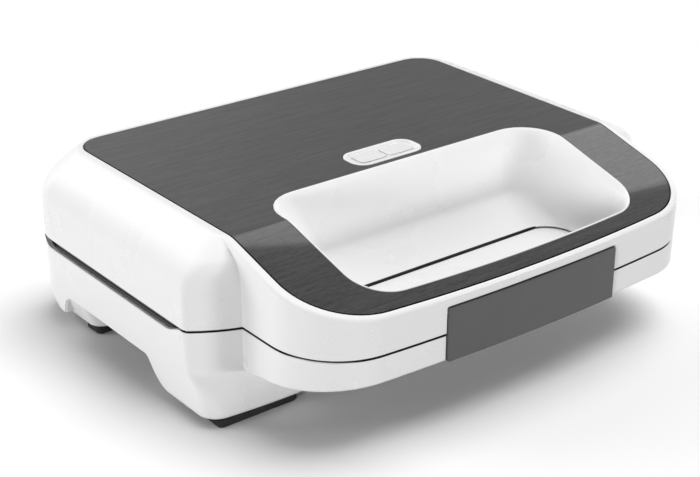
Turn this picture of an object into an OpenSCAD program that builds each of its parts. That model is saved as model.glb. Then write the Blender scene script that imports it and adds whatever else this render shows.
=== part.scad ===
// Two-slice sandwich toaster with a hinged lid, in millimetres.
// X runs across the width, -Y is the handle side, +Z is up.
// The origin lies on the table, under the middle of the toaster.

/* [Casing] */
// Width of the casings over the side walls
body_w = 300; // [290:1:320]
// Distance from the origin to the front faces of the legs
front_reach = 58.5; // [56:0.5:62]
// Radius of the bowed front faces beside the handle
bow_r = 80; // [75:1:85]
// Distance of the bow centres from the side walls
bow_in = 50; // [48:1:52]
// Plan radius of the rear corners
rear_r = 28; // [24:1:32]
// Plan radius of the upright edges beside the handle
nose_r = 5; // [4:0.5:7]
// Thickness of the casing walls
wall = 2.5; // [2:0.1:3]
// Height of the joint between the two casings
seam_z = 47; // [46.5:0.1:48]
// Open joint between the two casings
seam_gap = 0.9; // [0.6:0.1:1.2]
// Distance from the origin to the front end of the side slots
slot_front = 38.5; // [37:0.5:39]
// Distance of the rear end of the side slots from the rear wall
slot_tail = 13; // [11:0.5:15]
// Length over which the slots run out
slot_ramp = 15; // [12:0.5:16]
// Height of the flat top over the table
top_z = 88; // [87:0.5:92]

/* [Shoulder] */
// Height where the upper side wall starts to roll over
shoulder_z = 65.7; // [64:0.1:66.5]
// Radius of that roll
shoulder_r = 17; // [15:0.5:18]
// Fall of the shoulder from the rim of the top
shoulder_deg = 26.6; // [24:0.2:29]
// Share of the side roll that the rear wall has
rear_share = 0.13; // [0.1:0.01:0.2]
// Share of the side roll that the front faces have
front_share = 0.5; // [0.4:0.05:0.6]

/* [Top and handle] */
// Distance from the origin to the bend of the top
bend_y = 41.4; // [40:0.2:43]
// Fall of the sloping part of the top
slope_deg = 15.4; // [14:0.2:16]
// Distance of the handle sides from the side walls
handle_in = 23.8; // [22:0.2:26]
// Distance from the origin to the rim of the handle
handle_reach = 119.4; // [118:0.2:123]
// Lean of the handle front from its rim to the joint
handle_lean = 0.5; // [0:0.1:1]
// Radius of the gentle bow along the handle front
handle_bow = 1150; // [900:50:1500]
// Plan radius of the handle corners
handle_r = 38.4; // [36:0.4:42]
// Height of the handle underside next to the legs
handle_low_z = 24.7; // [23:0.1:27]
// Rise of the handle underside towards its front
handle_rise = 8.5; // [6:0.5:10]

/* [Trim plate] */
// Width of the white rim beside the dark trim plate
trim_side = 4.4; // [3.6:0.2:6]
// Width of the white rim behind it
trim_tail = 6; // [5:0.5:8]
// Width of the white rim in front of it
trim_nose = 2.2; // [2:0.1:3]
// Radius of its rear corners
trim_rear_r = 15.5; // [13:0.5:18]
// Radius of its front corners
trim_front_r = 36.6; // [35:0.2:40]
// Thickness of the trim plate
trim_t = 1.2; // [1:0.1:1.5]

/* [Grip well] */
// Width of the opening of the grip well
well_w = 178; // [172:1:182]
// Distance from the origin to its rear edge
well_rear = 17; // [16:0.5:19]
// Distance of its front edge from the handle rim
well_nose = 13; // [12.5:0.5:15]
// Corner radius of the opening
well_r = 19.7; // [18:0.1:21]
// Draft of the rear wall of the well, as a share of its depth
well_draft = 0.445; // [0.4:0.005:0.48]
// Height where the well floor starts to curve forward
well_floor_z = 59.5; // [59:0.5:62]
// Distance from the origin to the rear edge of the finger slot
slot_rear = 57.5; // [56:0.5:60]
// Wall of the well
well_wall = 2.2; // [1.8:0.1:2.4]
// Width of the white lip round the opening
lip_w = 1.4; // [1:0.1:1.8]
// Height of that lip over the trim plate
lip_h = 0.4; // [0.2:0.1:0.6]

/* [Legs] */
// Distance from the origin to the front of the side opening
notch_front = 2; // [0:0.5:4]
// Distance of its rear end from the rear wall
notch_tail = 36; // [34:0.5:38]
// Length of the curved front end of the side opening
notch_run = 22; // [20:1:24]
// Height of the open underside over the table
belly_z = 18.2; // [17.5:0.1:19]
// Height of the leg bottoms over the table
leg_z = 4; // [3.5:0.1:4.5]
// Length of each leg across the width
leg_w = 56; // [50:1:60]
// Height of the rear skirt over the table
skirt_z = 7.7; // [7:0.1:9]
// Distance of the rear legs from the side walls
leg_inset = 5; // [4:0.5:7]
// Length of the rear legs from front to rear
rear_leg_d = 34; // [30:1:38]
// Distance of the middle of the rear legs from the rear wall
rear_leg_tail = 40; // [38:1:42]
// Radius of the lower edge at the rear
heel_r = 14; // [12:0.5:16]
// Radius of the lower edges at the sides
sole_r = 2.5; // [2:0.5:4]
// Draft of the lower side walls in degrees
side_draft = 2; // [1:0.5:3]
// Height where the leg fronts start to flare forward
flare_z = 25; // [23:0.5:28]
// Flare of the leg fronts
leg_flare = 1.5; // [0.5:0.25:2]

/* [Feet] */
// Length of the front feet
foot_front_w = 46; // [40:1:48]
// Length of the rear feet
foot_rear_w = 30; // [26:1:34]
// Width of all feet
foot_d = 14; // [12:0.5:15]
// Distance of the front feet from the leg sides
foot_front_in = 7; // [6:0.5:8]
// Distance of the rear feet from the casing sides
foot_rear_in = 9; // [8:0.5:11]
// Distance of the middle of the rear feet from the rear wall
foot_tail = 49; // [47:1:51]

/* [Grill plates] */
// Height where the two grill plates meet
meet_z = 44.3; // [44:0.05:44.6]
// Gap between the closed grill plates
meet_gap = 0.5; // [0.4:0.1:0.8]
// Rim of the lower grill plate
rim_t = 1.65; // [1.5:0.05:1.8]
// Width of the ledge that the rims rest on
seat_w = 0.5; // [0.4:0.1:0.8]
// Gap between the rims and the casing in front
slot_gap = 1; // [0.8:0.1:1.4]
// Radius of the rims beside the handle
rim_nose_r = 22; // [20:1:25]
// Width of the land between each square pocket and the side wall
pocket_side = 14; // [14:0.5:17]
// Depth of the pockets
pocket_deep = 12; // [10:0.5:12]
// Wall of the cast plates
cast_t = 3; // [2.5:0.1:3.2]
// Distance from the origin to the front edge of the pockets
pocket_front = 24; // [22:0.5:25]
// Width of the land behind the pockets
pocket_tail = 17; // [17:0.5:20]
// Width of the bridge between the two pockets
bridge_w = 28; // [26:0.5:30]
// Width of the diagonal ridge in each pocket
ridge_w = 6; // [4:0.5:8]

/* [Heating] */
// Outside diameter of the tubular elements
tube_d = 6; // [5.6:0.1:6.2]
// Thickness of the heat shields
shield_t = 0.6; // [0.5:0.1:0.8]
// Thickness of the straps that hold the elements
strap_t = 0.7; // [0.5:0.1:0.8]
// Width of the straps
strap_w = 9; // [8:0.5:10]
// Length of the feet of a strap, from screw to screw
strap_reach = 14; // [13:0.5:16]
// Radius of the bends of the elements
element_r = 18; // [16:1:20]
// Distance of the element runs from the front and rear edges of the pockets
element_in = 15; // [13:1:17]
// Distance of the element ends from the middle plane
element_end = 12; // [10:1:14]
// Distance of the outer element runs from the side edges of the pockets
element_side = 31; // [28:1:34]
// Height of the rim of the heat shields
shield_lip = 2.4; // [2:0.1:3]
// Distance of the heat shields inside the edges of the pockets
shield_in = 2; // [1:0.5:4]
// Width of the opening for the wires
wire_w = 34; // [30:1:36]
// Depth of that opening
wire_d = 26; // [24:1:28]
// Corner radius of the heat shields
shield_r = 14; // [12:1:16]

/* [Terminal block] */
// Width of the terminal block
terminal_w = 26; // [24:1:28]
// Depth of the terminal block
terminal_d = 16; // [14:0.5:17]
// Height of the terminal block
terminal_h = 11; // [10:0.5:12]
// Distance between its three terminals
terminal_pitch = 8; // [7:0.5:9]
// Radius of its wire holes
wire_r = 1.7; // [1.5:0.1:1.9]

/* [Screws] */
// Diameter of the plate screws
screw_d = 4; // [3.5:0.1:4.2]
// Diameter of their heads
head_d = 7.6; // [7:0.1:8]
// Height of their heads
head_h = 2; // [1.8:0.1:2.2]
// Distance of the screws from the front and rear edges of the pockets
screw_in = 29; // [27:1:31]
// Free length left under the tips of the screws
tip_gap = 0.5; // [0.4:0.1:1]
// Wall of the bosses round the heads
boss_wall = 2.4; // [2:0.1:3]

/* [Hinge] */
// Distance of the hinge axis behind the rear wall
hinge_out = 1.5; // [1.4:0.1:2]
// Outside radius of the knuckles
knuckle_r = 4.5; // [4:0.1:4.5]
// Height of the web that joins a knuckle to the rear wall
knuckle_web = 14; // [10:1:16]
// Diameter of the hinge pins
pin_d = 4; // [3.5:0.1:4.2]
// Distance of each hinge from the middle plane
hinge_x = 70; // [60:1:80]
// Length of the middle knuckle of each hinge
knuckle_len = 18; // [14:1:22]
// Length of the outer knuckles
ear_len = 9; // [7:0.5:11]

/* [Cord gland] */
// Radius of the gland in the rear wall
gland_r = 6; // [5.5:0.1:6.5]
// Radius of its bore
gland_bore_r = 3.4; // [3:0.1:3.8]
// Height of its axis over the table
gland_z = 31; // [29:0.5:32]
// Depth of its collar behind the wall
gland_collar = 2.2; // [1.6:0.1:3]

/* [Latch] */
// Width of the latch plate
latch_w = 110; // [100:1:114]
// Height of the top edge of the latch
latch_top = 60.7; // [60:0.1:61.5]
// Height of the bottom edge of the latch
latch_low = 32.8; // [32.4:0.1:34]
// Thickness of the latch plate
latch_t = 2.6; // [2.2:0.1:3]
// Distance of the latch face in front of the handle front at the joint
latch_proud = 1.3; // [1:0.1:1.8]
// Radius of the latch barrel
barrel_r = 2.1; // [2:0.1:2.4]
// Diameter of the latch pin
latch_pin_d = 2; // [1.8:0.1:2.4]
// Width of the hook behind the latch
hook_w = 30; // [24:1:40]
// Height of the hook's upper face
hook_z = 38.3; // [37.8:0.1:39]
// Thickness of the hook
hook_t = 2.7; // [2.2:0.1:3]
// Reach of the hook behind the latch
hook_reach = 5.5; // [4:0.5:6]
// Width of the solid walls beside the latch
latch_frame = 5; // [4:0.5:6]
// Depth of the solid block behind the latch
latch_block = 13; // [11:0.5:14]

/* [Lamps] */
// Length of the lamp window
lamp_w = 45; // [40:1:50]
// Width of the lamp window
lamp_d = 20; // [18:0.5:22]
// Distance from the origin forward to the middle of the window
lamp_y = 1.5; // [0:0.5:3]
// Corner radius of the window
lamp_r = 8; // [6:0.5:9]
// Distance between the two lamps
lamp_pitch = 18; // [16:0.5:20]
// Width of each of the two raised pads
pad_w = 15.3; // [14:0.1:16]
// Depth of each pad
pad_d = 11; // [10:0.5:12]
// Diameter of the lamps
bulb_d = 5.6; // [5:0.1:6]

/* [Hidden] */
$fn = 48;

// Clearance between pieces that move past each other
clear = 0.3;
// Clearance of a pin that turns, and of one that is pressed in
run = 0.05;
press = 0.01;
// Overlap of cutters past the faces they cut
over = 1;
far = 2 * body_w;

pocket = (body_w - bridge_w) / 2 - pocket_side;
rear_reach = pocket - pocket_front + pocket_tail;
slot_back = rear_reach - slot_tail;
notch_rear = rear_reach - notch_tail;
rear_leg_y = rear_reach - rear_leg_tail;
low_z = seam_z - seam_gap / 2;
high_z = seam_z + seam_gap / 2;
bow_x = body_w / 2 - bow_in;
bow_y = bow_r - front_reach;
handle_w = body_w - 2 * handle_in;
handle_seam_reach = handle_reach - handle_lean;
trim_w = handle_w - 2 * trim_side;
trim_rear = rear_reach - trim_tail;
trim_front = handle_reach - trim_nose;
well_front = handle_reach - well_nose;
latch_face = handle_seam_reach + latch_proud;
hinge_y = rear_reach + hinge_out;
lower_face = meet_z - meet_gap / 2;
upper_face = meet_z + meet_gap / 2;
scoop_z = lower_face - rim_t;
rim_side = wall - seat_w;
rim_front = wall + slot_gap;
rim_rear = wall + 3;
pocket_x = (bridge_w + pocket) / 2;
pocket_y = pocket / 2 - pocket_front;
pocket_back = pocket_deep + cast_t;
bow_c = handle_bow - handle_reach;
latch_dip = bow_c + latch_face - sqrt(pow(bow_c + latch_face, 2) - pow(latch_w / 2, 2));
barrel_in = 0.1;
pivot_y = barrel_r + barrel_in + latch_dip - latch_face;
pivot_z = latch_top - barrel_r - barrel_in;
latch_edge = 1;
lip_front_z = top_z - (well_front - bend_y) * tan(slope_deg);
latch_pin_len = latch_w + 8;
boss_y = [screw_in - pocket_front, pocket - pocket_front - screw_in];
boss_r = head_d / 2 + boss_wall;
stub_h = tube_d + strap_t + tip_gap;
floor_z = belly_z + wall;
deck_z = top_z - trim_t - wall;
upper_back = upper_face + pocket_back;
upper_shield_z = upper_back + stub_h;
upper_seat_z = deck_z - 6;
lower_back = lower_face - pocket_back;
lower_shield_z = lower_back - stub_h;
lower_seat_z = belly_z + head_h;
element_x = pocket_x + pocket / 2 - element_side;
element_front = pocket_y - pocket / 2 + element_in;
element_rear = pocket_y + pocket / 2 - element_in;
latch_back = latch_t - latch_face;
hook_play = 0.8;
lens_z = deck_z - 3.2;
terminal_y = element_rear + (tube_d + terminal_d + head_h) / 2 + clear;
foot_front_x = (body_w - foot_front_w) / 2 - foot_front_in;
foot_rear_x = (body_w - foot_rear_w) / 2 - foot_rear_in;
foot_front_y = foot_d / 2 + 0.5 - front_reach;
foot_rear_y = rear_reach - foot_tail;
ear_x = (knuckle_len + ear_len) / 2 + clear;
pin_len = knuckle_len + 2 * ear_len + 2 * clear;

// Points on an arc, both ends included
function arc(c, r, a0, a1, n) =
    [for (i = [0:n]) let (a = a0 + (a1 - a0) * i / n) c + r * [cos(a), sin(a)]];

// Points on a cubic curve
function curve(p, n) = [for (i = [0:n]) let (t = i / n, s = 1 - t)
    s * s * s * p[0] + 3 * s * s * t * p[1] + 3 * s * t * t * p[2] + t * t * t * p[3]];

// Right half of an outline and its mirror image
function both_halves(right) =
    concat(right, [for (i = [len(right) - 1:-1:0]) [-right[i][0], right[i][1]]]);

// Casing outline. The insets move its sides, rear and front inwards
function body_ring(side, rear, front, corner, nose, n = 2, bow = bow_r) =
    let (half = body_w / 2 - side,
         back = rear_reach - rear,
         r = bow - front,
         c = [bow_x, bow - front_reach],
         dx = half - nose - bow_x,
         dy = sqrt(pow(r - nose, 2) - dx * dx),
         a = atan2(-dy, dx))
    both_halves(concat(
        arc(c, r, -90, a, 3 * n),
        arc([half - nose, c[1] - dy], nose, a + 8, 0, 2 * n),
        arc([half - corner, back - corner], corner, 0, 90, 4 * n)));

// Outline with its own half width, rear, front and corner radii
function slab_ring(half, back, front, back_r, front_r, n = 6) =
    both_halves(concat(
        arc([half - front_r, front_r - front], front_r, -90, 0, n),
        arc([half - back_r, back - back_r], back_r, 0, 90, n)));

// Outline with a gently bowed front. Its back half width may be less by "narrow"
function bowed_ring(half, back, front, back_r, front_r, n = 6, narrow = 0) =
    let (r = bow_c + front,
         dx = half - front_r,
         dy = sqrt(pow(r - front_r, 2) - dx * dx),
         a = atan2(-dy, dx),
         step = (a + 90) / 4.5)
    both_halves(concat(
        arc([0, bow_c], r, step / 2 - 90, a, 4),
        arc([dx, bow_c - dy], front_r, a + (90 + a) / n, 0, n - 1),
        arc([half - narrow - back_r, back - back_r], back_r, 0, 90, n)));

// Outline of a bowed strip of width w, between two distances from the origin
function bowed_strip(w, outer, inner) =
    let (xs = [for (i = [-4:4]) i * w / 8])
    concat([for (x = xs) [x, bow_c - sqrt(pow(bow_c + outer, 2) - x * x)]],
           [for (x = xs) [-x, bow_c - sqrt(pow(bow_c + inner, 2) - x * x)]]);

// Solid through a stack of outlines with equal numbers of points
module loft(rings, heights) {
    n = len(rings[0]);
    m = len(rings);
    points = [for (k = [0:m - 1]) for (p = rings[k]) [p[0], p[1], heights[k]]];
    sides = [for (k = [0:m - 2]) for (i = [0:n - 1])
        [k * n + i, (k + 1) * n + i, (k + 1) * n + (i + 1) % n, k * n + (i + 1) % n]];
    polyhedron(points, concat([[for (i = [0:n - 1]) i]], sides,
        [[for (i = [n - 1:-1:0]) (m - 1) * n + i]]), convexity = 6);
}

// Prism along X from a profile drawn in Y and Z
module along_x(length) {
    rotate([90, 0, 90]) translate([0, 0, -length / 2]) linear_extrude(length) children();
}

// Rounded rectangle with true arcs
module rounded(w, d, r) {
    square([w - 2 * r, d], center = true);
    square([w, d - 2 * r], center = true);
    for (x = [-1, 1], y = [-1, 1]) translate([x * (w / 2 - r), y * (d / 2 - r)]) circle(r);
}

// The same thing at both sides of the middle plane
module both_sides() {
    children();
    mirror([1, 0, 0]) children();
}

module both_ways() {
    children();
    mirror([0, 0, 1]) children();
}

// Everything that lies under the top surface lowered by "down"
module under_top(down) {
    fall = (far - bend_y) * tan(slope_deg);
    along_x(far) polygon([
        [far, -far], [far, top_z - down], [-bend_y, top_z - down],
        [-far, top_z - down - fall], [-far, -far - fall]]);
}

// ---------------------------------------------------------------- upper half

// Upper body with its rolled shoulder, moved inwards by "in"
module pillow(in, n) {
    r = shoulder_r - in;
    stop = 90 - shoulder_deg;
    steps = 2 * n + 1;
    roll = [for (i = [0:steps]) let (a = stop * i / steps)
        [in + r * (1 - cos(a)), shoulder_z + r * sin(a)]];
    last = roll[steps];
    rim = [last[0] + (top_z - in - last[1]) / tan(shoulder_deg), top_z - in];
    levels = concat([[in, in > 0 ? high_z - over : high_z]], roll, [rim]);
    loft([for (l = levels) let (a = l[0] - in)
        body_ring(l[0], in + a * rear_share, in + a * front_share,
                  rear_r - in - a * 0.3, nose_r - in / 2 + a * 0.4, n)],
        [for (l = levels) l[1]]);
}

// Upper handle block, moved inwards by "in", from height z0 up
module handle_block(in, z0, n) {
    rim_z = top_z - (handle_reach - bend_y) * tan(slope_deg);
    loft([for (s = [0, 1, 1])
        bowed_ring(handle_w / 2 - in, -bow_y, handle_seam_reach + handle_lean * s - in, 1, handle_r - in, n)],
        [z0, rim_z, top_z + over]);
}

module upper_outer() {
    intersection() {
        union() {
            pillow(0, 2);
            handle_block(0, high_z, 8);
        }
        under_top(0);
    }
}

module upper_inner() {
    intersection() {
        union() {
            pillow(wall, 1);
            handle_block(wall, high_z + wall, 4);
        }
        under_top(trim_t + wall);
    }
}

// Outline of the grip well at height z, grown by "out". Its front lip lies lower than its rear one
function well_ring(z, out) =
    let (deep = top_z - z,
         ahead = max(0, lip_front_z - z),
         foot_z = high_z + well_wall,
         u = min(1, max(0, (well_floor_z - z) / (well_floor_z - foot_z))),
         end = well_rear + (top_z - foot_z) * well_draft,
         back = z <= foot_z ? slot_rear : well_rear + deep * well_draft + (slot_rear - end) * u * u,
         round = 0.25,
         side = 0.42)
    bowed_ring(well_w / 2 - ahead * side + out, out - back, well_front - ahead * 0.12 + out,
               well_r - deep * round + out, well_r - ahead * round + out, 4, (deep - ahead) * side);

module well(out) {
    foot_z = high_z + well_wall;
    bend = [for (i = [0:4]) foot_z + (well_floor_z - foot_z) * i / 4];
    heights = concat([high_z - over], bend, [lip_front_z, top_z + 2]);
    loft([for (z = heights) well_ring(z, out)], [for (z = heights) z - out]);
}

// Trim plate outline with its edge moved in
module trim_outline(in) {
    polygon(bowed_ring(trim_w / 2 - in, trim_rear - in, trim_front - in,
                       trim_rear_r - in, trim_front_r - in, 10));
}

module lip_outline(out) {
    r = well_r + out;
    polygon(bowed_ring(well_w / 2 + out, out - well_rear, well_front + out, r, r, 6));
}

module lamp_outline(out) {
    translate([0, -lamp_y]) rounded(lamp_w + 2 * out, lamp_d + 2 * out, lamp_r + out);
}

// Knuckles of one hinge. "side" is 1 for the upper casing and -1 for the lower one
module knuckle(length, side) {
    tip = knuckle_r * [cos(30), side * sin(30)];
    edge = side > 0 ? high_z : low_z;
    along_x(length) {
        translate([hinge_y, seam_z]) circle(knuckle_r);
        polygon([
            [rear_reach - wall, edge], [rear_reach - wall, edge + side * knuckle_web],
            [rear_reach + 0.2, edge + side * knuckle_web], [hinge_y + tip[0], seam_z + tip[1]],
            [hinge_y, seam_z]]);
    }
}

module hinge_bar(length, r) {
    translate([0, hinge_y, seam_z]) rotate([0, 90, 0]) cylinder(h = length, r = r, center = true);
}

module plate_screw_places() {
    for (x = [-1, 1], y = boss_y) translate([x * pocket_x, y, 0]) children();
}

// Solid part of a handle block round the latch
module latch_frame_box(z0, z1) {
    w = latch_w + 2 * latch_frame;
    translate([-w / 2, -handle_reach, z0]) cube([w, latch_block, z1 - z0]);
}

// Recess for the latch plate from height z0 to z1
module latch_recess(z0, z1) {
    translate([0, 0, z0]) linear_extrude(z1 - z0)
        polygon(bowed_strip(latch_w + 2 * clear, 2 * handle_reach, -latch_back - clear));
}

// Half of the room in which the top edge of the latch turns
module latch_swing() {
    up = barrel_r + barrel_in - latch_edge;
    cylinder(h = latch_w / 2 + clear, r1 = norm([up + latch_dip, up]) + latch_edge + 1.5 * clear,
             r2 = norm([up, up]) + latch_edge + 1.5 * clear);
}

module upper_casing() {
    color("white") difference() {
        union() {
            difference() {
                upper_outer();
                upper_inner();
            }
            intersection() {
                under_top(-lip_h);
                well(well_wall);
                translate([-body_w, -body_w, high_z]) cube([2 * body_w, 2 * body_w, top_z]);
            }
            intersection() {
                upper_outer();
                latch_frame_box(high_z, latch_top + latch_frame);
            }
            plate_screw_places() translate([0, 0, upper_shield_z + shield_t])
                cylinder(h = deck_z + over - upper_shield_z - shield_t, r = boss_r);
            both_sides() translate([hinge_x, 0, 0]) knuckle(knuckle_len, 1);
        }
        well(0);
        difference() {
            translate([0, 0, seam_z]) linear_extrude(top_z) trim_outline(-clear / 2);
            under_top(trim_t);
            translate([0, 0, seam_z - over]) linear_extrude(2 * top_z) lip_outline(lip_w);
        }
        translate([0, 0, deck_z - over]) linear_extrude(top_z) lamp_outline(clear / 2);
        plate_screw_places() {
            translate([0, 0, upper_seat_z]) cylinder(h = top_z, r = head_d / 2 + clear);
            cylinder(h = top_z, r = screw_d / 2 + clear);
        }
        both_sides() translate([hinge_x, 0, 0]) {
            hinge_bar(knuckle_len + over, pin_d / 2 + run);
            for (x = [-1, 1]) translate([x * ear_x, 0, 0])
                hinge_bar(ear_len + 2 * clear, knuckle_r + 2 * clear);
        }
        latch_recess(high_z - over, latch_top + 2 * clear);
        translate([0, pivot_y, pivot_z]) rotate([0, 90, 0]) {
            both_ways() latch_swing();
            cylinder(h = latch_pin_len, r = latch_pin_d / 2 + press, center = true);
        }
    }
}

module trim_plate() {
    color("#565656") difference() {
        intersection() {
            linear_extrude(top_z + over) trim_outline(0);
            under_top(0);
        }
        under_top(trim_t);
        linear_extrude(2 * top_z) lip_outline(lip_w + clear / 2);
        linear_extrude(2 * top_z) lamp_outline(clear / 2);
    }
}

// Outline of one triangle of a pocket, moved inwards by "in"
function triangle_ring(in) =
    let (r = 9,
         leg = pocket - ridge_w * sqrt(0.5) - r * (2 + sqrt(2)),
         e = r - in)
    concat(arc([r, r], e, 180, 270, 3), arc([r + leg, r], e, -90, 45, 4), arc([r, r + leg], e, 45, 180, 4));

// Both triangles of the right-hand pocket, cut upwards from z = 0
module pocket_pair() {
    depths = [-over, pocket_deep - 2, pocket_deep];
    insets = [0, 4.4, 6.4];
    for (turn = [0, 180]) translate([pocket_x, pocket_y, 0]) rotate(turn)
        translate([-pocket / 2, -pocket / 2, 0])
            loft([for (i = insets) triangle_ring(i)], depths);
}

// Outline of the rims, grown by "out"
module rim_outline(out) {
    polygon(body_ring(rim_side - out, rim_rear - out, rim_front - out,
                      rear_r + 2 + out, rim_nose_r + out));
}

// Grill plate with its face at z = 0 and its pockets going up
module grill_plate(rim) {
    block = pocket / 2 + cast_t;
    stub = pocket_back + stub_h;
    difference() {
        union() {
            linear_extrude(rim) rim_outline(0);
            both_sides() translate([pocket_x, pocket_y, 0])
                loft([for (in = [0, 3.6]) slab_ring(block - in, block - in, block - in, 8, 8, 3)],
                     [0, pocket_back]);
            plate_screw_places() cylinder(h = stub, r = screw_d / 2 + 3);
        }
        both_sides() pocket_pair();
        plate_screw_places() translate([0, 0, pocket_back - over])
            cylinder(h = stub, r = screw_d / 2 + press);
    }
}

module upper_plate() {
    color("#3a3a3a") translate([0, 0, upper_face]) grill_plate(high_z - upper_face);
}

module lower_plate() {
    color("#3a3a3a") translate([0, 0, lower_face]) mirror([0, 0, 1]) grill_plate(rim_t);
}

// Straight run of a tubular element
module tube(p, q) {
    d = q - p;
    translate([p[0], p[1], 0]) rotate([0, 0, atan2(d[1], d[0])]) rotate([0, 90, 0])
        cylinder(h = norm(d), d = tube_d);
}

// Tubular element in a loop under both pockets, with its axis at z = 0
module element() {
    r = element_r;
    pin_d = 2.4;
    tube([-element_x + r, element_front], [element_x - r, element_front]);
    both_sides() {
        tube([element_x, element_front + r], [element_x, element_rear - r]);
        tube([element_end, element_rear], [element_x - r, element_rear]);
        translate([element_x - r, element_front + r, 0]) rotate([0, 0, -90])
            rotate_extrude(angle = 90) translate([r, 0]) circle(d = tube_d);
        translate([element_x - r, element_rear - r, 0])
            rotate_extrude(angle = 90) translate([r, 0]) circle(d = tube_d);
        translate([element_end - 9, element_rear, 0]) rotate([0, 90, 0]) cylinder(h = 10, d = pin_d);
    }
}

module upper_element() {
    color("#8a6f5c") translate([0, 0, upper_back + tube_d / 2]) element();
}

module lower_element() {
    color("#8a6f5c") translate([0, 0, lower_face - pocket_back - tube_d / 2]) element();
}

// One strap over the element, with its feet on z = 0 and its screw heads
module strap() {
    r = tube_d / 2 + 0.1;
    half = r + strap_t;
    foot = strap_reach / 2 + 2;
    difference() {
        union() {
            translate([0, 0, tube_d / 2]) rotate([90, 0, 0])
                cylinder(h = strap_w, r = half, center = true);
            translate([-half, -strap_w / 2, 0]) cube([2 * half, strap_w, tube_d / 2]);
            translate([-foot, -strap_w / 2, 0]) cube([2 * foot, strap_w, strap_t]);
            for (x = [-1, 1]) translate([x * strap_reach / 2, 0, 0]) cylinder(h = strap_t + 1.2, r = 2);
        }
        translate([0, 0, tube_d / 2]) rotate([90, 0, 0])
            cylinder(h = strap_w + over, r = r, center = true);
        translate([-r, -strap_w, -over]) cube([2 * r, 2 * strap_w, tube_d / 2 + over]);
    }
}

module straps() {
    both_sides() {
        translate([element_x, pocket_y, 0]) strap();
        translate([pocket_x, element_front, 0]) rotate(90) strap();
    }
}

module upper_element_straps() {
    color("silver") translate([0, 0, upper_back]) straps();
}

module lower_element_straps() {
    color("silver") translate([0, 0, lower_face - pocket_back]) mirror([0, 0, 1]) straps();
}

// Pressed heat shield with a stiffening rim, its sheet at z = 0
module heat_shield() {
    w = 2 * pocket_x + pocket - 2 * shield_in;
    d = pocket - 2 * shield_in;
    t = shield_t;
    difference() {
        translate([0, pocket_y, 0]) difference() {
            linear_extrude(shield_lip) rounded(w, d, shield_r);
            translate([0, 0, t]) linear_extrude(shield_lip) rounded(w - 2 * t, d - 2 * t, shield_r - t);
        }
        plate_screw_places() translate([0, 0, -over]) cylinder(h = 3 * over, r = screw_d / 2 + clear);
        translate([0, terminal_y + terminal_d / 2 + 2 * clear - wire_d / 2, -over])
            linear_extrude(shield_lip + 2 * over) rounded(wire_w, wire_d, 4);
    }
}

module upper_heat_shield() {
    color("lightgray") translate([0, 0, upper_shield_z + shield_t]) mirror([0, 0, 1]) heat_shield();
}

module lower_heat_shield() {
    color("lightgray") translate([0, 0, lower_shield_z - shield_t]) heat_shield();
}

// Pan-head screw standing on z = 0 with its shank downwards
module screw(length) {
    slot = [head_d * 0.6, head_h * 0.45, head_h];
    difference() {
        cylinder(h = head_h, d = head_d);
        for (a = [0, 90]) translate([0, 0, head_h]) rotate(a) cube(slot, center = true);
    }
    translate([0, 0, -length]) cylinder(h = length, d = screw_d);
}

module upper_plate_screws() {
    color("silver") plate_screw_places() translate([0, 0, upper_seat_z])
        screw(upper_seat_z - upper_back - tip_gap);
}

module lower_plate_screws() {
    color("silver") plate_screw_places() translate([0, 0, lower_seat_z]) mirror([0, 0, 1])
        screw(lower_back - tip_gap - lower_seat_z);
}

// Both lamp pads, grown by "out", from height z0 to z1
module pads(out, z0, z1) {
    for (x = [-1, 1]) translate([x * lamp_pitch / 2, -lamp_y, z0])
        linear_extrude(z1 - z0) rounded(pad_w + 2 * out, pad_d + 2 * out, 3 + out);
}

// Bezel that holds the lens from under the deck
module lamp_bezel() {
    flange = deck_z - 1.6;
    color("white") difference() {
        union() {
            translate([0, 0, flange]) linear_extrude(top_z + lip_h - flange) lamp_outline(0);
            translate([0, 0, flange]) linear_extrude(deck_z - flange) lamp_outline(3);
        }
        translate([0, 0, top_z - 0.6]) linear_extrude(2) lamp_outline(-1.4);
        pads(0, flange - over, top_z + over);
    }
}

module lamp_lens() {
    seat = deck_z - 1.6;
    color("ivory") {
        pads(-clear, seat, top_z - 0.1);
        translate([0, -lamp_y, lens_z]) linear_extrude(seat - lens_z) rounded(lamp_w, lamp_d, 4);
    }
}

// Holder with two sockets under the lens
module lamp_holder() {
    socket_h = 12;
    socket_r = bulb_d / 2 + 2.2;
    plate_t = 1.6;
    color("#d8d8d0") difference() {
        union() {
            translate([0, -lamp_y, lens_z - plate_t]) linear_extrude(plate_t) rounded(lamp_w, lamp_d, 4);
            for (x = [-1, 1]) translate([x * lamp_pitch / 2, -lamp_y, lens_z - socket_h])
                cylinder(h = socket_h, r = socket_r);
        }
        for (x = [-1, 1]) translate([x * lamp_pitch / 2, -lamp_y, lens_z - socket_h + 1.5])
            cylinder(h = socket_h, r = socket_r - 1.5);
    }
}

// Neon lamp standing in its socket
module lamp(x) {
    stem = 6.5;
    translate([x * lamp_pitch / 2, -lamp_y, lens_z - 12 + 1.5]) {
        cylinder(h = stem, d = bulb_d);
        translate([0, 0, stem]) sphere(d = bulb_d);
    }
}

module power_lamp() {
    color("orangered") lamp(-1);
}

module ready_lamp() {
    color("limegreen") lamp(1);
}

module latch_pin() {
    color("silver") translate([0, pivot_y, pivot_z]) rotate([0, 90, 0])
        cylinder(h = latch_pin_len, d = latch_pin_d, center = true);
}

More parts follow.
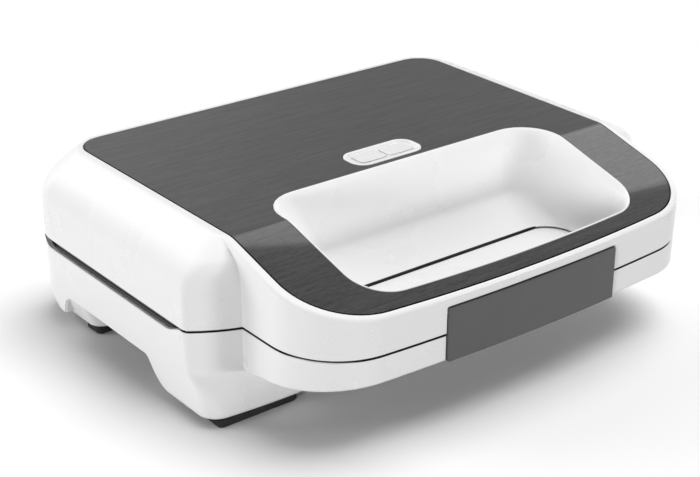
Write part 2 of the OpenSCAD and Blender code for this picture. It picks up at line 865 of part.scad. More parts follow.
// Latch plate with its barrel along the top and its hook behind
module latch_clip() {
    color("#5a5a5a") difference() {
        union() {
            loft([for (in = [0, 0, 0.3, 1]) bowed_strip(latch_w, latch_face - in * latch_edge, -latch_back)],
                 concat([latch_low], [for (down = [1, 0.3, 0]) latch_top - down * latch_edge]));
            translate([0, pivot_y, pivot_z]) rotate([0, 90, 0])
                cylinder(h = latch_w, r = barrel_r, center = true);
            translate([-hook_w / 2, latch_back - press, hook_z - hook_t])
                cube([hook_w, hook_reach + press, hook_t]);
        }
        translate([0, pivot_y, pivot_z]) rotate([0, 90, 0])
            cylinder(h = latch_w + over, r = latch_pin_d / 2 + run, center = true);
    }
}

// ---------------------------------------------------------------- lower half

// Inset of an edge of radius r at height h over the bottom
function sole(r, h) = h < r ? r - sqrt(r * r - (r - h) * (r - h)) : 0;

// Lower body down to the leg bottoms, before the underside is opened
module tub() {
    heights = [leg_z, leg_z + 0.4, leg_z + 1.2, leg_z + sole_r, leg_z + 5, leg_z + 9, leg_z + heel_r,
               flare_z, low_z];
    loft([for (z = heights)
        let (h = z - leg_z,
             edge = sole(sole_r, h),
             draft = (low_z - z) * tan(side_draft),
             flare = z < flare_z ? pow(sin(90 * (flare_z - z) / (flare_z - leg_z)), 2) : 0)
        body_ring(draft + edge, sole(heel_r, h) * 0.8, edge - flare * leg_flare,
                  rear_r + sole(heel_r, h) * 0.5, nose_r + 5 * flare, 2, bow_r * (1 + 4 * flare))],
        heights);
}

// Lower handle block, moved inwards by "in"
module handle_shelf(in, n) {
    reach = handle_seam_reach - in;
    slope = handle_rise / (handle_seam_reach - front_reach);
    z0 = handle_low_z + in;
    intersection() {
        loft([for (z = [0, 1]) bowed_ring(handle_w / 2 - in, -bow_y, reach, 1, handle_r - in, n)],
             [belly_z, low_z - (in > 0 ? in : 0)]);
        along_x(far) polygon([
            [0, z0], [-front_reach, z0], [-far, z0 + slope * (far - front_reach)], [-far, far], [0, far]]);
    }
}

// Opening between the legs, drawn in Y and Z
module notch_profile() {
    rise = belly_z - leg_z;
    end_r = 9;
    toe = -notch_front - notch_run;
    polygon(concat(
        [[notch_rear, -over], [notch_rear, belly_z - end_r]],
        arc([notch_rear - end_r, belly_z - end_r], end_r, 0, 90, 6),
        curve([[-notch_front, belly_z], [-notch_front - 4, belly_z],
               [-notch_front - 5.5, leg_z + rise * 0.2], [toe, leg_z]], 8),
        [[toe, -over]]));
}

// Room between the left and right legs, grown by "out"
module belly(out) {
    half = body_w / 2 - leg_w + out;
    translate([-half, -front_reach - 5, -over])
        cube([2 * half, front_reach + rear_reach + 10, belly_z + out + over]);
}

module underside() {
    along_x(far) notch_profile();
    belly(0);
    translate([-body_w, 0, -over]) cube([far, far, skirt_z + over]);
}

// Rear leg behind the opening, moved inwards by "in"
module rear_leg(in) {
    half_w = (leg_w - leg_inset) / 2 - in;
    half_d = rear_leg_d / 2 - in;
    corner = 8;
    translate([body_w / 2 - leg_inset - half_w - in, rear_leg_y, 0])
        loft([for (e = [1, 0.3, 0, 0])
                 slab_ring(half_w - e, half_d - e, half_d - e, corner - e, corner - e, 3)],
             [leg_z + in, leg_z + in + 1, leg_z + in + 3, floor_z + (in > 0 ? over : 0)]);
}

// Slots in the side walls that show the rims of the grill plates
module side_slots() {
    rise = low_z - scoop_z;
    ease = [for (i = [0:6]) [slot_ramp * i / 6, rise * (1 - cos(30 * i)) / 2]];
    difference() {
        along_x(far) polygon(concat(
            [for (e = ease) [e[0] - slot_front, low_z - e[1]]],
            [for (e = ease) [slot_back - slot_ramp + e[0], scoop_z + e[1]]],
            [[slot_back, low_z + over], [-slot_front, low_z + over]]));
        translate([-body_w / 2 + 5 * wall, -far, 0]) cube([body_w - 10 * wall, 2 * far, far]);
    }
}

// Room for the works inside the lower body and its front legs
module lower_inner() {
    difference() {
        loft([for (z = [leg_z + wall, low_z + over])
            body_ring(wall + (low_z - z) * tan(side_draft), wall, wall, rear_r - wall, nose_r - 1, 1)],
            [leg_z + wall, low_z + over]);
        along_x(far) offset(r = wall) notch_profile();
        belly(wall);
        translate([-body_w, rear_leg_y - rear_leg_d / 2, 0]) cube([far, far, floor_z]);
    }
    handle_shelf(wall, 4);
}

module lower_casing() {
    color("white") difference() {
        union() {
            difference() {
                union() {
                    tub();
                    handle_shelf(0, 8);
                }
                underside();
                lower_inner();
            }
            both_sides() rear_leg(0);
            plate_screw_places() translate([0, 0, belly_z])
                cylinder(h = lower_shield_z - shield_t - belly_z, r = boss_r);
            both_sides() for (x = [-1, 1])
                translate([hinge_x + x * ear_x, 0, 0]) knuckle(ear_len, -1);
            intersection() {
                handle_shelf(0, 8);
                latch_frame_box(belly_z, low_z);
            }
        }
        both_sides() rear_leg(wall);
        side_slots();
        translate([0, 0, scoop_z]) linear_extrude(far) rim_outline(press);
        plate_screw_places() {
            translate([0, 0, -over]) cylinder(h = lower_seat_z + over, r = head_d / 2 + clear);
            cylinder(h = far, r = screw_d / 2 + clear);
        }
        both_sides() translate([hinge_x, 0, 0]) {
            hinge_bar(knuckle_len + 2 * clear, knuckle_r + 2 * clear);
            hinge_bar(pin_len, pin_d / 2 + press);
        }
        latch_recess(0, low_z + over);
        translate([-hook_w / 2 - clear, latch_back, hook_z - hook_t - hook_play])
            cube([hook_w + 2 * clear, hook_reach + hook_play, hook_t + hook_play + clear]);
        gland_place() cylinder(h = 4 * wall, r = gland_r + clear / 3, center = true);
    }
}

// Cord gland through the rear wall
module gland_place() {
    translate([0, rear_reach, gland_z]) rotate([-90, 0, 0]) children();
}

module cord_gland() {
    sleeve = wall + 4;
    color("#303030") gland_place() difference() {
        union() {
            cylinder(h = gland_collar, r = gland_r + 2.4);
            translate([0, 0, -sleeve]) cylinder(h = sleeve, r = gland_r);
            translate([0, 0, -wall - 1.6]) cylinder(h = 1.6, r = gland_r + 2);
        }
        translate([0, 0, -sleeve - over]) cylinder(h = sleeve + gland_collar + 2 * over, r = gland_bore_r);
    }
}

module thermostat() {
    body_r = 7;
    body_h = 7;
    tab = [0.8, 4.8, 6];
    color("#c8b48c") translate([0, pocket_y - 10, scoop_z]) mirror([0, 0, 1]) {
        cylinder(h = body_h, r = body_r);
        linear_extrude(1) rounded(20, 9, 2);
        for (x = [-4, 4]) translate([x - tab[0] / 2, -tab[1] / 2, body_h - over]) cube(tab);
    }
}

module thermal_fuse() {
    body_r = 2.2;
    body_l = 11;
    lead_r = 0.5;
    lead_l = 8;
    color("#d9c9a8") translate([0, pocket_y + 14, scoop_z - body_r - 0.1]) rotate([-90, 0, 0]) {
        cylinder(h = body_l, r = body_r);
        translate([0, 0, -lead_l]) cylinder(h = body_l + 2 * lead_l, r = lead_r);
    }
}

module terminal_block() {
    color("#e8e4d8") translate([0, terminal_y, floor_z]) difference() {
        translate([-terminal_w / 2, -terminal_d / 2, 0]) cube([terminal_w, terminal_d, terminal_h]);
        for (k = [-1, 0, 1]) translate([k * terminal_pitch, 0, terminal_h / 2]) {
            rotate([90, 0, 0]) cylinder(h = terminal_d + over, r = wire_r, center = true);
            cylinder(h = terminal_h, r = wire_r + 0.1);
        }
    }
}

// Rubber foot with a rounded outline and a chamfered tread
module foot(x, y, w) {
    tread = 0.8;
    color("#2c2c2c") translate([x, y, 0])
        loft([for (in = [tread, 0, 0]) slab_ring(w / 2 - in, foot_d / 2 - in, foot_d / 2 - in, 3, 3, 3)],
             [0, tread, leg_z]);
}

module front_left_foot() {
    foot(-foot_front_x, foot_front_y, foot_front_w);
}

module front_right_foot() {
    foot(foot_front_x, foot_front_y, foot_front_w);
}

module rear_left_foot() {
    foot(-foot_rear_x, foot_rear_y, foot_rear_w);
}

module rear_right_foot() {
    foot(foot_rear_x, foot_rear_y, foot_rear_w);
}

module hinge_pin(side) {
    color("silver") translate([side * hinge_x, 0, 0]) hinge_bar(pin_len, pin_d / 2);
}

module left_hinge_pin() {
    hinge_pin(-1);
}

module right_hinge_pin() {
    hinge_pin(1);
}

lower_casing();
lower_plate();
lower_element();
lower_element_straps();
lower_heat_shield();
lower_plate_screws();
thermostat();
thermal_fuse();
terminal_block();
cord_gland();
front_left_foot();
front_right_foot();
rear_left_foot();
rear_right_foot();
left_hinge_pin();
right_hinge_pin();
upper_casing();
trim_plate();
upper_plate();
upper_element();
upper_element_straps();
upper_heat_shield();
upper_plate_screws();
lamp_bezel();
lamp_lens();
lamp_holder();
power_lamp();
ready_lamp();
latch_pin();
latch_clip();
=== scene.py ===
# %% [markdown]
# # A two-slice sandwich toaster, dressed in Blender
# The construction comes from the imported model: thirty named pieces on three
# bodies, which are the base, the lid and the latch. This lesson gives them
# their looks. Smooth mouldings are built again with many more facets than a
# construction model needs, and everything gets a finish made of nodes.

# %% Load the fixed frame
import math
import bpy
import bmesh
import numpy as np
from mathutils import Matrix, Vector


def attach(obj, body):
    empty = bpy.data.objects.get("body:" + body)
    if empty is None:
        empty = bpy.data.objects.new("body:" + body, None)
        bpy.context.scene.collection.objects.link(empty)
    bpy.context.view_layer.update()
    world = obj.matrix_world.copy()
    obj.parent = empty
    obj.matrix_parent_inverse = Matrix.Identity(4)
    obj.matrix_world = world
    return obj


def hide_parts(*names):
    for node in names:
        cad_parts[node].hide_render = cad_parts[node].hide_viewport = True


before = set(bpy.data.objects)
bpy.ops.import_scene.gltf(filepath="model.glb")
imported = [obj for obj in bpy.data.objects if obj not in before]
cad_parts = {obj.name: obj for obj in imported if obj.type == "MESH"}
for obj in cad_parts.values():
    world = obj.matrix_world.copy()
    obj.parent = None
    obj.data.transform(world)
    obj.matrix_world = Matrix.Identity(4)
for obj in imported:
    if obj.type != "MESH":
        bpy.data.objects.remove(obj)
bpy.context.view_layer.update()

# %% [markdown]
# The camera comes first, because everything that follows is judged through
# it. A lens of about 82 mm looks down at the front left corner, so that the
# top, the handle and one side all show. It was fitted to edges whose real
# directions are known, such as the straight sides of the trim plate.

# %% Place the camera
CAMERA_AT = (-0.490662, -0.600571, 0.395143)
CAMERA_PITCH, CAMERA_YAW, CAMERA_ROLL = 24.755, 38.072, 0.113
LENS_MM, SENSOR_MM = 81.71, 36.0

def in_scene(name, data):
    """A new object that holds this data, put in the scene."""
    made = bpy.data.objects.new(name, data)
    bpy.context.scene.collection.objects.link(made)
    return made

camera = bpy.data.cameras.new("camera")
camera.lens, camera.sensor_width = LENS_MM, SENSOR_MM
viewer = in_scene("camera", camera)
viewer.location = CAMERA_AT
yaw, pitch, roll = (Matrix.Rotation(math.radians(angle), 3, axis) for angle, axis in (
    (-CAMERA_YAW, "Z"), (90 - CAMERA_PITCH, "X"), (CAMERA_ROLL, "Z")))
viewer.rotation_euler = (yaw @ pitch @ roll).to_euler()
bpy.context.scene.camera = viewer
print("camera looks", tuple(round(v, 3) for v in viewer.rotation_euler.to_matrix() @ Vector((0, 0, -1))))

# %% [markdown]
# The sizes below repeat the construction's own values, in millimetres, so
# that each new shell lies on the solid that it stands for. X runs across the
# width, -Y is the handle side and +Z is up.

# %% Sizes of the casings
SCALE = 0.001
BODY_HALF, REAR_REACH, FRONT_REACH = 150.0, 115.0, 58.5
BOW_R, BOW_X, REAR_R, NOSE_R = 80.0, 100.0, 28.0, 5.0
WALL, SEAM_Z, SEAM_GAP, TOP_Z, CLEAR = 2.5, 47.0, 0.9, 88.0, 0.3
LOW_Z, HIGH_Z = SEAM_Z - SEAM_GAP / 2, SEAM_Z + SEAM_GAP / 2
BEND_Y, BEND_SOFT, SLOPE = 41.4, 2.5, math.tan(math.radians(15.4))
HANDLE_HALF, HANDLE_REACH, HANDLE_SEAM, HANDLE_R = 126.2, 119.4, 118.9, 38.4
HANDLE_BACK, BOW_BACK = FRONT_REACH - BOW_R, 1150 - HANDLE_REACH
RIM_Z = TOP_Z - (HANDLE_REACH - BEND_Y) * SLOPE
print("lid from", HIGH_Z, "to", TOP_Z, "mm, handle rim at", round(RIM_Z, 2))

# %% [markdown]
# ## Outlines
# A moulding like this one is a stack of outlines: a plan that shrinks as it
# climbs the rolled shoulder. Every outline here is symmetrical, so only its
# right half is written, from the front round to the back. Both halves always
# have the same number of points, which lets one ring be joined to the next.

# %% Draw outlines
def arc(centre, radius, start, stop, steps):
    """Points on an arc, in degrees, with both ends."""
    turn = np.radians(np.linspace(start, stop, steps + 1))
    return np.column_stack((centre[0] + radius * np.cos(turn), centre[1] + radius * np.sin(turn)))

def mirrored(right):
    """A right half and its mirror image, as one closed outline."""
    right = np.asarray(right, float)
    return np.vstack((right, right[::-1] * (-1, 1)))

def body_outline(side, rear, front, corner, nose, bow=BOW_R, fine=5):
    """The bowed plan of the casings. The insets move its sides, rear and front inwards."""
    half, back, radius = BODY_HALF - side, REAR_REACH - rear, bow - front
    centre = (BOW_X, bow - FRONT_REACH)
    dx = half - nose - BOW_X
    dy = math.sqrt((radius - nose) ** 2 - dx * dx)
    meet = math.degrees(math.atan2(-dy, dx))
    return mirrored(np.vstack((
        arc(centre, radius, -90, meet, 4 * fine),
        arc((half - nose, centre[1] - dy), nose, meet + 4, 0, 2 * fine),
        arc((half - corner, back - corner), corner, 0, 90, 4 * fine))))

def slab_outline(half, depth, corner, fine=6):
    """A plain plan about the middle, with rounded corners."""
    nose = arc((half - corner, corner - depth), corner, -90, 0, fine)
    tail = arc((half - corner, depth - corner), corner, 0, 90, fine)
    return mirrored(np.vstack((nose, tail)))

def bowed_outline(half, back, front, back_r, front_r, fine=16, side=22, narrow=0.0):
    """A plan with a gently bowed front. Its back may be narrower, and its sides are split evenly."""
    brow_steps = 9
    radius, dx = BOW_BACK + front, half - front_r
    dy = math.sqrt((radius - front_r) ** 2 - dx * dx)
    meet = math.degrees(math.atan2(-dy, dx))
    brow = arc((0, BOW_BACK), radius, (meet + 90) / (2 * brow_steps + 1) - 90, meet, brow_steps)
    nose = arc((dx, BOW_BACK - dy), front_r, meet, 0, fine)
    tail = arc((half - narrow - back_r, back - back_r), back_r, 0, 90, max(2, fine // 2))
    between = nose[-1] + (tail[0] - nose[-1]) * np.linspace(0, 1, side + 1)[1:-1, None]
    return mirrored(np.vstack((brow, nose[1:], between, tail)))

def bow_y(x, reach):
    """Where a bowed front with a given reach lies at x."""
    return BOW_BACK - np.sqrt((BOW_BACK + reach) ** 2 - np.asarray(x, float) ** 2)

def top_at(y):
    """Height of the top surface: flat, then falling, with a soft bend between."""
    ahead = -BEND_Y - np.asarray(y, float)
    bend = (ahead + BEND_SOFT) ** 2 / (4 * BEND_SOFT)
    return TOP_Z - SLOPE * np.where(ahead > BEND_SOFT, ahead, np.where(ahead < -BEND_SOFT, 0, bend))

print("casing outline:", len(body_outline(0, 0, 0, REAR_R, NOSE_R)), "points, handle bows by",
      round(float(bow_y(HANDLE_HALF - HANDLE_R, HANDLE_REACH) + HANDLE_REACH), 2), "mm")

# %% [markdown]
# A stack of rings becomes a closed solid. Bars, rods and other plain shapes
# get one big face at each end. A casing's ends are closed with strips from
# side to side instead. Each strip is flat even where the top bends, because
# the height depends on the depth alone.

# %% Turn rings into solids
def mesh_object(name, points, faces, edges=()):
    mesh = bpy.data.meshes.new(name)
    mesh.from_pydata([tuple(p) for p in np.asarray(points) * SCALE], edges, faces)
    mesh.validate()
    return in_scene(name, mesh)

def swept(name, rings, ends=None):
    """A closed solid through rings of equal length, which run anticlockwise seen from its far end."""
    count, last = len(rings[0]), len(rings) - 1
    faces = [(k + i, k + (i + 1) % count, k + count + (i + 1) % count, k + count + i)
             for k in range(0, last * count, count) for i in range(count)]
    faces += ends or [tuple(reversed(range(count))), tuple(range(last * count, (last + 1) * count))]
    return mesh_object(name, np.vstack(rings), faces)

def ring_at(outline, height):
    """A ring in space. The height is one number or one for each point."""
    return np.column_stack((outline, np.broadcast_to(np.asarray(height, float), len(outline))))

def loft(name, rings):
    """A casing's solid through rings that climb, with its ends closed in strips."""
    count, last = len(rings[0]), (len(rings) - 1) * len(rings[0])
    strips = [(i, i + 1, count - 2 - i, count - 1 - i) for i in range(count // 2 - 1)]
    ends = [face for strip in strips for face in (strip[::-1], tuple(last + k for k in strip))]
    return swept(name, rings, ends)

def stack(name, outline_of, steps):
    """A loft through (out, z) steps of one outline."""
    return loft(name, [ring_at(outline_of(out), z) for out, z in steps])

def following(name, outline_of, steps):
    """A loft whose rings keep a set depth under the top. Steps are (out, under)."""
    outlines = [(outline_of(out), under) for out, under in steps]
    return loft(name, [ring_at(outline, top_at(outline[:, 1]) - under) for outline, under in outlines])

def bar(name, profile, length):
    """A bar along X from a closed profile of (Y, Z) points, anticlockwise seen from +X."""
    return swept(name, [[(x, y, z) for y, z in profile] for x in (-length / 2, length / 2)])

def block(name, half, low, high):
    """A box across the middle, from its half width and two (Y, Z) corners."""
    (y0, z0), (y1, z1) = low, high
    return bar(name, [(y0, z0), (y1, z0), (y1, z1), (y0, z1)], 2 * half)

def rod(name, start, end, radius, sides=48, tip=None):
    """A round bar between two points; tip is its radius at the far end."""
    start, end = Vector(start), Vector(end)
    along = (end - start).normalized()
    across = along.orthogonal().normalized()
    other = along.cross(across)
    turns = [2 * math.pi * k / sides for k in range(sides)]
    rings = [[tuple(centre + across * (r * math.cos(t)) + other * (r * math.sin(t))) for t in turns]
             for centre, r in ((start, radius), (end, radius if tip is None else tip))]
    return swept(name, rings)

def upright(name, x, y, low, high, radius):
    return rod(name, (x, y, low), (x, y, high), radius, 40)

def lying(name, x, length, radius, y, z):
    return rod(name, (x - length / 2, y, z), (x + length / 2, y, z), radius)

def moved(made, x=0.0, y=0.0, z=0.0, turn=Matrix()):
    """Turns the mesh of a piece and puts it in its place."""
    made.data.transform(Matrix.Translation((x * SCALE, y * SCALE, z * SCALE)) @ turn)
    return made

print("a casing's end is closed with", len(body_outline(0, 0, 0, REAR_R, NOSE_R)) // 2 - 1, "strips")

# %% [markdown]
# Solids are added and cut with the Boolean modifier. Its Manifold solver is
# quick and keeps closed shells closed. The result is taken as a plain mesh,
# and the tools that made it are thrown away.

# %% Add and cut solids
WELD, SHARP_DEG, FLAT_WEIGHT = 2e-6, 32, 60

def settled(made):
    """The object with its modifiers turned into plain mesh."""
    bpy.context.view_layer.update()
    graph = bpy.context.evaluated_depsgraph_get()
    mesh = bpy.data.meshes.new_from_object(made.evaluated_get(graph), depsgraph=graph)
    old = made.data
    made.modifiers.clear()
    made.data = mesh
    if old.users == 0:
        bpy.data.meshes.remove(old)
    mesh.name = made.name
    return made

def combine(made, operation, tools):
    """Adds, cuts or keeps the overlap with each tool in turn, and removes the tools."""
    for tool in tools:
        step = made.modifiers.new(tool.name, "BOOLEAN")
        step.operation, step.object, step.solver = operation, tool, "MANIFOLD"
    settled(made)
    for tool in tools:
        mesh = tool.data
        bpy.data.objects.remove(tool)
        if mesh.users == 0:
            bpy.data.meshes.remove(mesh)
    return made

def joined(made, *tools):
    return combine(made, "UNION", tools)

def cut(made, *tools):
    return combine(made, "DIFFERENCE", tools)

def kept(made, *tools):
    return combine(made, "INTERSECT", tools)

def smoothed(made, degrees=SHARP_DEG):
    """Soft shading that breaks only at real edges, with the flats kept flat."""
    mesh = made.data
    work = bmesh.new()
    work.from_mesh(mesh)
    bmesh.ops.remove_doubles(work, verts=work.verts, dist=WELD)
    work.to_mesh(mesh)
    work.free()
    mesh.shade_smooth()
    mesh.set_sharp_from_angle(angle=math.radians(degrees))
    weights = made.modifiers.new("weights", "WEIGHTED_NORMAL")
    weights.keep_sharp, weights.weight = True, FLAT_WEIGHT
    return settled(made)

print("points weld within", WELD / SCALE, "mm, and edges stay sharp from", SHARP_DEG, "degrees")

# %% [markdown]
# ## The lid casing
# The lid's shell is one glossy white moulding: a bowed body with a rolled
# shoulder, joined to a lower and longer handle block. The two meet in a
# crease, so they are made as two lofts and added. The rim of the handle gets
# its rounding in the loft itself, as rings that step in while they climb.

# %% Shape the body and the handle of the lid
SHOULDER_Z, SHOULDER_R, SHOULDER_DEG = 65.7, 17.0, 26.6
REAR_SHARE, FRONT_SHARE, CORNER_SHARE, NOSE_SHARE = 0.13, 0.5, 0.3, 0.4
RIM_BEAD, LOW_EDGE = 2.0, 0.5
FAR = 200.0

def rounding(radius, steps, start=0, under=None):
    """Steps round an edge: how far in, and how far under the top, each one is."""
    turn = np.radians(np.linspace(start, 90, steps + 1))
    return [(radius * (1 - math.cos(a)), (under or radius) * (1 - math.sin(a))) for a in turn]

def pillow(name, inset, fine, crease=1.6):
    """The rolled body of the lid, moved inwards by the inset."""
    radius, fall = SHOULDER_R - inset, math.radians(SHOULDER_DEG)
    turn = np.radians(np.linspace(0, 90 - SHOULDER_DEG, 3 * fine + 1))
    foot = [(inset, HIGH_Z - 1)] if inset else [(i, HIGH_Z + d) for i, d in reversed(rounding(LOW_EDGE, 3))]
    roll = [(inset + radius * (1 - math.cos(a)), SHOULDER_Z + radius * math.sin(a)) for a in turn]
    rim = roll[-1][0] + (TOP_Z - inset - roll[-1][1]) / math.tan(fall)
    bend = crease / math.tan(fall / 2)
    brow = [(rim + crease - bend * math.sin(a), TOP_Z - inset - bend * (1 - math.cos(a)))
            for a in np.linspace(fall, 0, 5)]
    rings = []
    for i, z in foot + roll + brow:
        a = i - inset
        corner, nose = REAR_R - inset - a * CORNER_SHARE, NOSE_R - inset / 2 + a * NOSE_SHARE
        outline = body_outline(i, inset + a * REAR_SHARE, inset + a * FRONT_SHARE, corner, nose, fine=fine)
        rings.append(ring_at(outline, z))
    return loft(name, rings)

def handle_plan(inset, reach, fine):
    """The plan of the handle. Its back lies inside the body."""
    return bowed_outline(HANDLE_HALF - inset, -HANDLE_BACK, reach - inset, 1, HANDLE_R - inset, fine=fine)

def lid_front(z):
    """How far the handle of the lid reaches at a height."""
    share = (z - HIGH_Z) / (RIM_Z - HIGH_Z)
    return HANDLE_SEAM + (HANDLE_REACH - HANDLE_SEAM) * min(1, max(0, share))

def handle_block(name, inset, low, bead, low_edge=LOW_EDGE, fine=20):
    """The handle of the lid, whose beaded rim follows the sloping top."""
    foot = [(i, low + d) for i, d in reversed(rounding(low_edge, 3))] if low_edge else [(0, low)]
    rings = [ring_at(handle_plan(inset + i, lid_front(z), fine), z) for i, z in foot]
    for i, under in rounding(bead, 7):
        rim = handle_plan(inset + i, lid_front(RIM_Z - under), fine)
        rings.append(ring_at(rim, top_at(rim[:, 1]) - under))
    return loft(name, rings)

def under_top(name, down):
    """Everything below the top surface moved down, as a bar along X."""
    bend = [(float(y), float(top_at(y)) - down) for y in (*np.linspace(5 - BEND_Y, -4 - BEND_Y, 13), -FAR)]
    return bar(name, [(FAR, -20), (FAR, TOP_Z - down)] + bend + [(-FAR, -20)], 2 * FAR)

lid_shell = kept(pillow("lid_shell", 0, 5), under_top("top", 0.02))
joined(lid_shell, handle_block("handle", 0, HIGH_Z, RIM_BEAD))
print("lid outside:", len(lid_shell.data.polygons), "faces")

# %% [markdown]
# The grip well is a slanting pocket behind the handle, open at the bottom in
# a finger slot. Its rear wall leans back and turns into a gentle floor, so its
# outline changes with height. A white lip stands just proud of the dark trim.

# %% Shape the grip well
WELL_HALF, WELL_REAR, WELL_FRONT, WELL_R, WELL_WALL = 89.0, 17.0, 106.4, 19.7, 2.2
LIP_W, LIP_H, SLOT_REAR, FLOOR_Z = 1.4, 0.4, 55.3, 59.5
REAR_DRAFT, SIDE_DRAFT, BACK_DRAFT, ROUND_DRAFT, FRONT_DRAFT = 0.445, 0.42, 0.1, 0.25, 0.12
FOOT_Z, LINER_Z = HIGH_Z + 0.3, HIGH_Z + 0.4
LIP_FRONT_Z = TOP_Z - (WELL_FRONT - BEND_Y) * SLOPE

def well_plan(out, deep, ahead, back):
    """The plan of the well, grown outwards. Its drafts start from the lip, at the back and in front."""
    return bowed_outline(WELL_HALF - ahead * SIDE_DRAFT + out, out - back,
                         WELL_FRONT - ahead * FRONT_DRAFT + out, WELL_R - deep * BACK_DRAFT + out,
                         WELL_R - ahead * ROUND_DRAFT + out, 14, 10, narrow=(deep - ahead) * SIDE_DRAFT)

def well_level(out, z):
    """The plan of the well at a height. Under FLOOR_Z its rear wall turns into the floor."""
    deep, ahead = TOP_Z - z, max(0.0, LIP_FRONT_Z - z)
    wall, end = WELL_REAR + deep * REAR_DRAFT, WELL_REAR + (TOP_Z - FOOT_Z) * REAR_DRAFT
    turn = min(1.0, max(0.0, (FLOOR_Z - z) / (FLOOR_Z - FOOT_Z)))
    return well_plan(out, deep, ahead, wall + (SLOT_REAR - end) * turn ** 2)

def well_ring(out, under):
    """A ring of the well that keeps a set depth under the sloping top."""
    ring = well_plan(out, under, under, WELL_REAR + under * REAR_DRAFT)
    return ring_at(ring, top_at(ring[:, 1]) - under)

def well_body(name, out, low, edge):
    """The well as a solid. The edge lists (out, under) steps of its upper rim."""
    heights = [low, *np.linspace(FOOT_Z, FOOT_Z + 12, 13), 68.0]
    rings = [ring_at(well_level(out, max(z, FOOT_Z)), max(low + 0.02 * k, z - out))
             for k, z in enumerate(heights)]
    return loft(name, rings + [well_ring(out + o, under) for o, under in edge])

liner = well_body("liner", WELL_WALL, LINER_Z, [(0, 3.0)])
collar = loft("collar", [well_ring(out, under) for out, under in (
    (LIP_W, 3.2), (LIP_W, 0.25 - LIP_H), (LIP_W - 0.2, 0.05 - LIP_H), (LIP_W - 0.45, -LIP_H))])
lip_round = [(i, under - LIP_H) for i, under in rounding(1.0, 7, start=12, under=3.4)]
hollow = well_body("hollow", 0, HIGH_Z - 2, [(0, 3.0), *lip_round, (1.0, -2 - LIP_H)])
print("well solids:", len(liner.data.polygons), len(collar.data.polygons), len(hollow.data.polygons), "faces")

# %% [markdown]
# The inside is hollowed with a plain copy of the same two forms, so the wall
# stays even. The recess for the trim plate is cut first and the well's collar
# is added after it, which leaves the collar standing inside the recess.

# %% Hollow the lid and sink the trim recess
TRIM_HALF, TRIM_REAR, TRIM_FRONT, TRIM_REAR_R, TRIM_FRONT_R = 121.8, 109.0, 117.2, 15.5, 36.6
TRIM_T, TRIM_GAP = 1.2, 0.35
DECK_Z = TOP_Z - TRIM_T - WALL

def trim_outline(out):
    return bowed_outline(TRIM_HALF + out, TRIM_REAR + out, TRIM_FRONT + out,
                         TRIM_REAR_R + out, TRIM_FRONT_R + out, fine=18, side=80)

room = pillow("room", WALL, 2, crease=0.5)
joined(room, handle_block("handle_room", WALL, HIGH_Z + WALL, 0.5, 0, 8))
kept(room, under_top("room_top", TRIM_T + WALL))
recess = following("recess", lambda out: trim_outline(out + TRIM_GAP), [(0, TRIM_T), (0, 0.35), (0.25, -2)])
cut(lid_shell, room, recess)
joined(lid_shell, cut(joined(liner, collar), block("below", FAR, (-FAR, 0), (FAR, LINER_Z))))
cut(lid_shell, hollow)
print("lid shell:", len(lid_shell.data.polygons), "faces")

# %% [markdown]
# What the casings carry decides where they are opened: the latch on its
# barrel, the two hinges, the screws that hold the grill plates, the heating
# tubes between each plate and its heat shield, and the gland in the rear wall.

# %% Sizes of what the casings carry
LAMP_HALF, LAMP_DEPTH, LAMP_R, LAMP_Y = 22.5, 10.0, 8.0, 1.5
LATCH_HALF, LATCH_TOP, LATCH_LOW, LATCH_T, LATCH_REACH, LATCH_EDGE = 55.0, 60.7, 32.8, 2.6, 120.2, 1.0
LATCH_BACK, LATCH_DIP = LATCH_REACH - LATCH_T, float(bow_y(LATCH_HALF, LATCH_REACH) + LATCH_REACH)
BARREL_R, BARREL_IN, CATCH_PIN_R = 2.1, 0.1, 1.0
PIVOT_Y, PIVOT_Z = BARREL_R + BARREL_IN + LATCH_DIP - LATCH_REACH, LATCH_TOP - BARREL_R - BARREL_IN
HOOK_HALF, HOOK_LOW, HOOK_HIGH, HOOK_REACH = 15.0, 35.6, 38.3, 5.5
HINGE_X, HINGE_Y, HINGE_PIN_R, KNUCKLE_R, KNUCKLE_L, EAR_L = 70.0, 116.5, 2.0, 4.5, 18.0, 9.0
EAR_X = (KNUCKLE_L + EAR_L) / 2 + CLEAR
HINGE_PIN_L = KNUCKLE_L + 2 * EAR_L + 2 * CLEAR
POCKET, POCKET_X, POCKET_Y, POCKET_DEEP, CAST_T = 122.0, 75.0, 37.0, 12.0, 3.0
PLATES_Z, PLATE_GAP = 44.3, 0.5
LOWER_FACE, UPPER_FACE = PLATES_Z - PLATE_GAP / 2, PLATES_Z + PLATE_GAP / 2
LOWER_BACK, UPPER_BACK = LOWER_FACE - POCKET_DEEP - CAST_T, UPPER_FACE + POCKET_DEEP + CAST_T
TUBE_D, STRAP_T, SHIELD_T = 6.0, 0.7, 0.6
STUD_H = TUBE_D + STRAP_T + 0.5
SEAT_Z = DECK_Z - 6
SCREW_X, SCREW_Y, HEAD_R, HEAD_H, SHANK_R, BOSS_R = POCKET_X, (5.0, 69.0), 3.8, 2.0, 2.0, 6.2
GLAND_Z, GLAND_R = 31.0, 6.0
print("latch turns at y, z", round(PIVOT_Y, 2), round(PIVOT_Z, 2), "and the lid at", HINGE_Y, SEAM_Z)

# %% [markdown]
# Openings come next. The latch lies in a recess of the front wall, the lamp
# window drops through the deck, and four bosses and two hinge knuckles carry
# the screws and pins. The latch's recess is drawn ring by ring, because it
# follows the bow of the front and its mouth is rounded.

# %% Shape the window, the knuckles and the latch's recess
WEB_H = 14.0

def lamp_outline(out):
    return slab_outline(LAMP_HALF + out, LAMP_DEPTH + out, LAMP_R + out, 8) - (0, LAMP_Y)

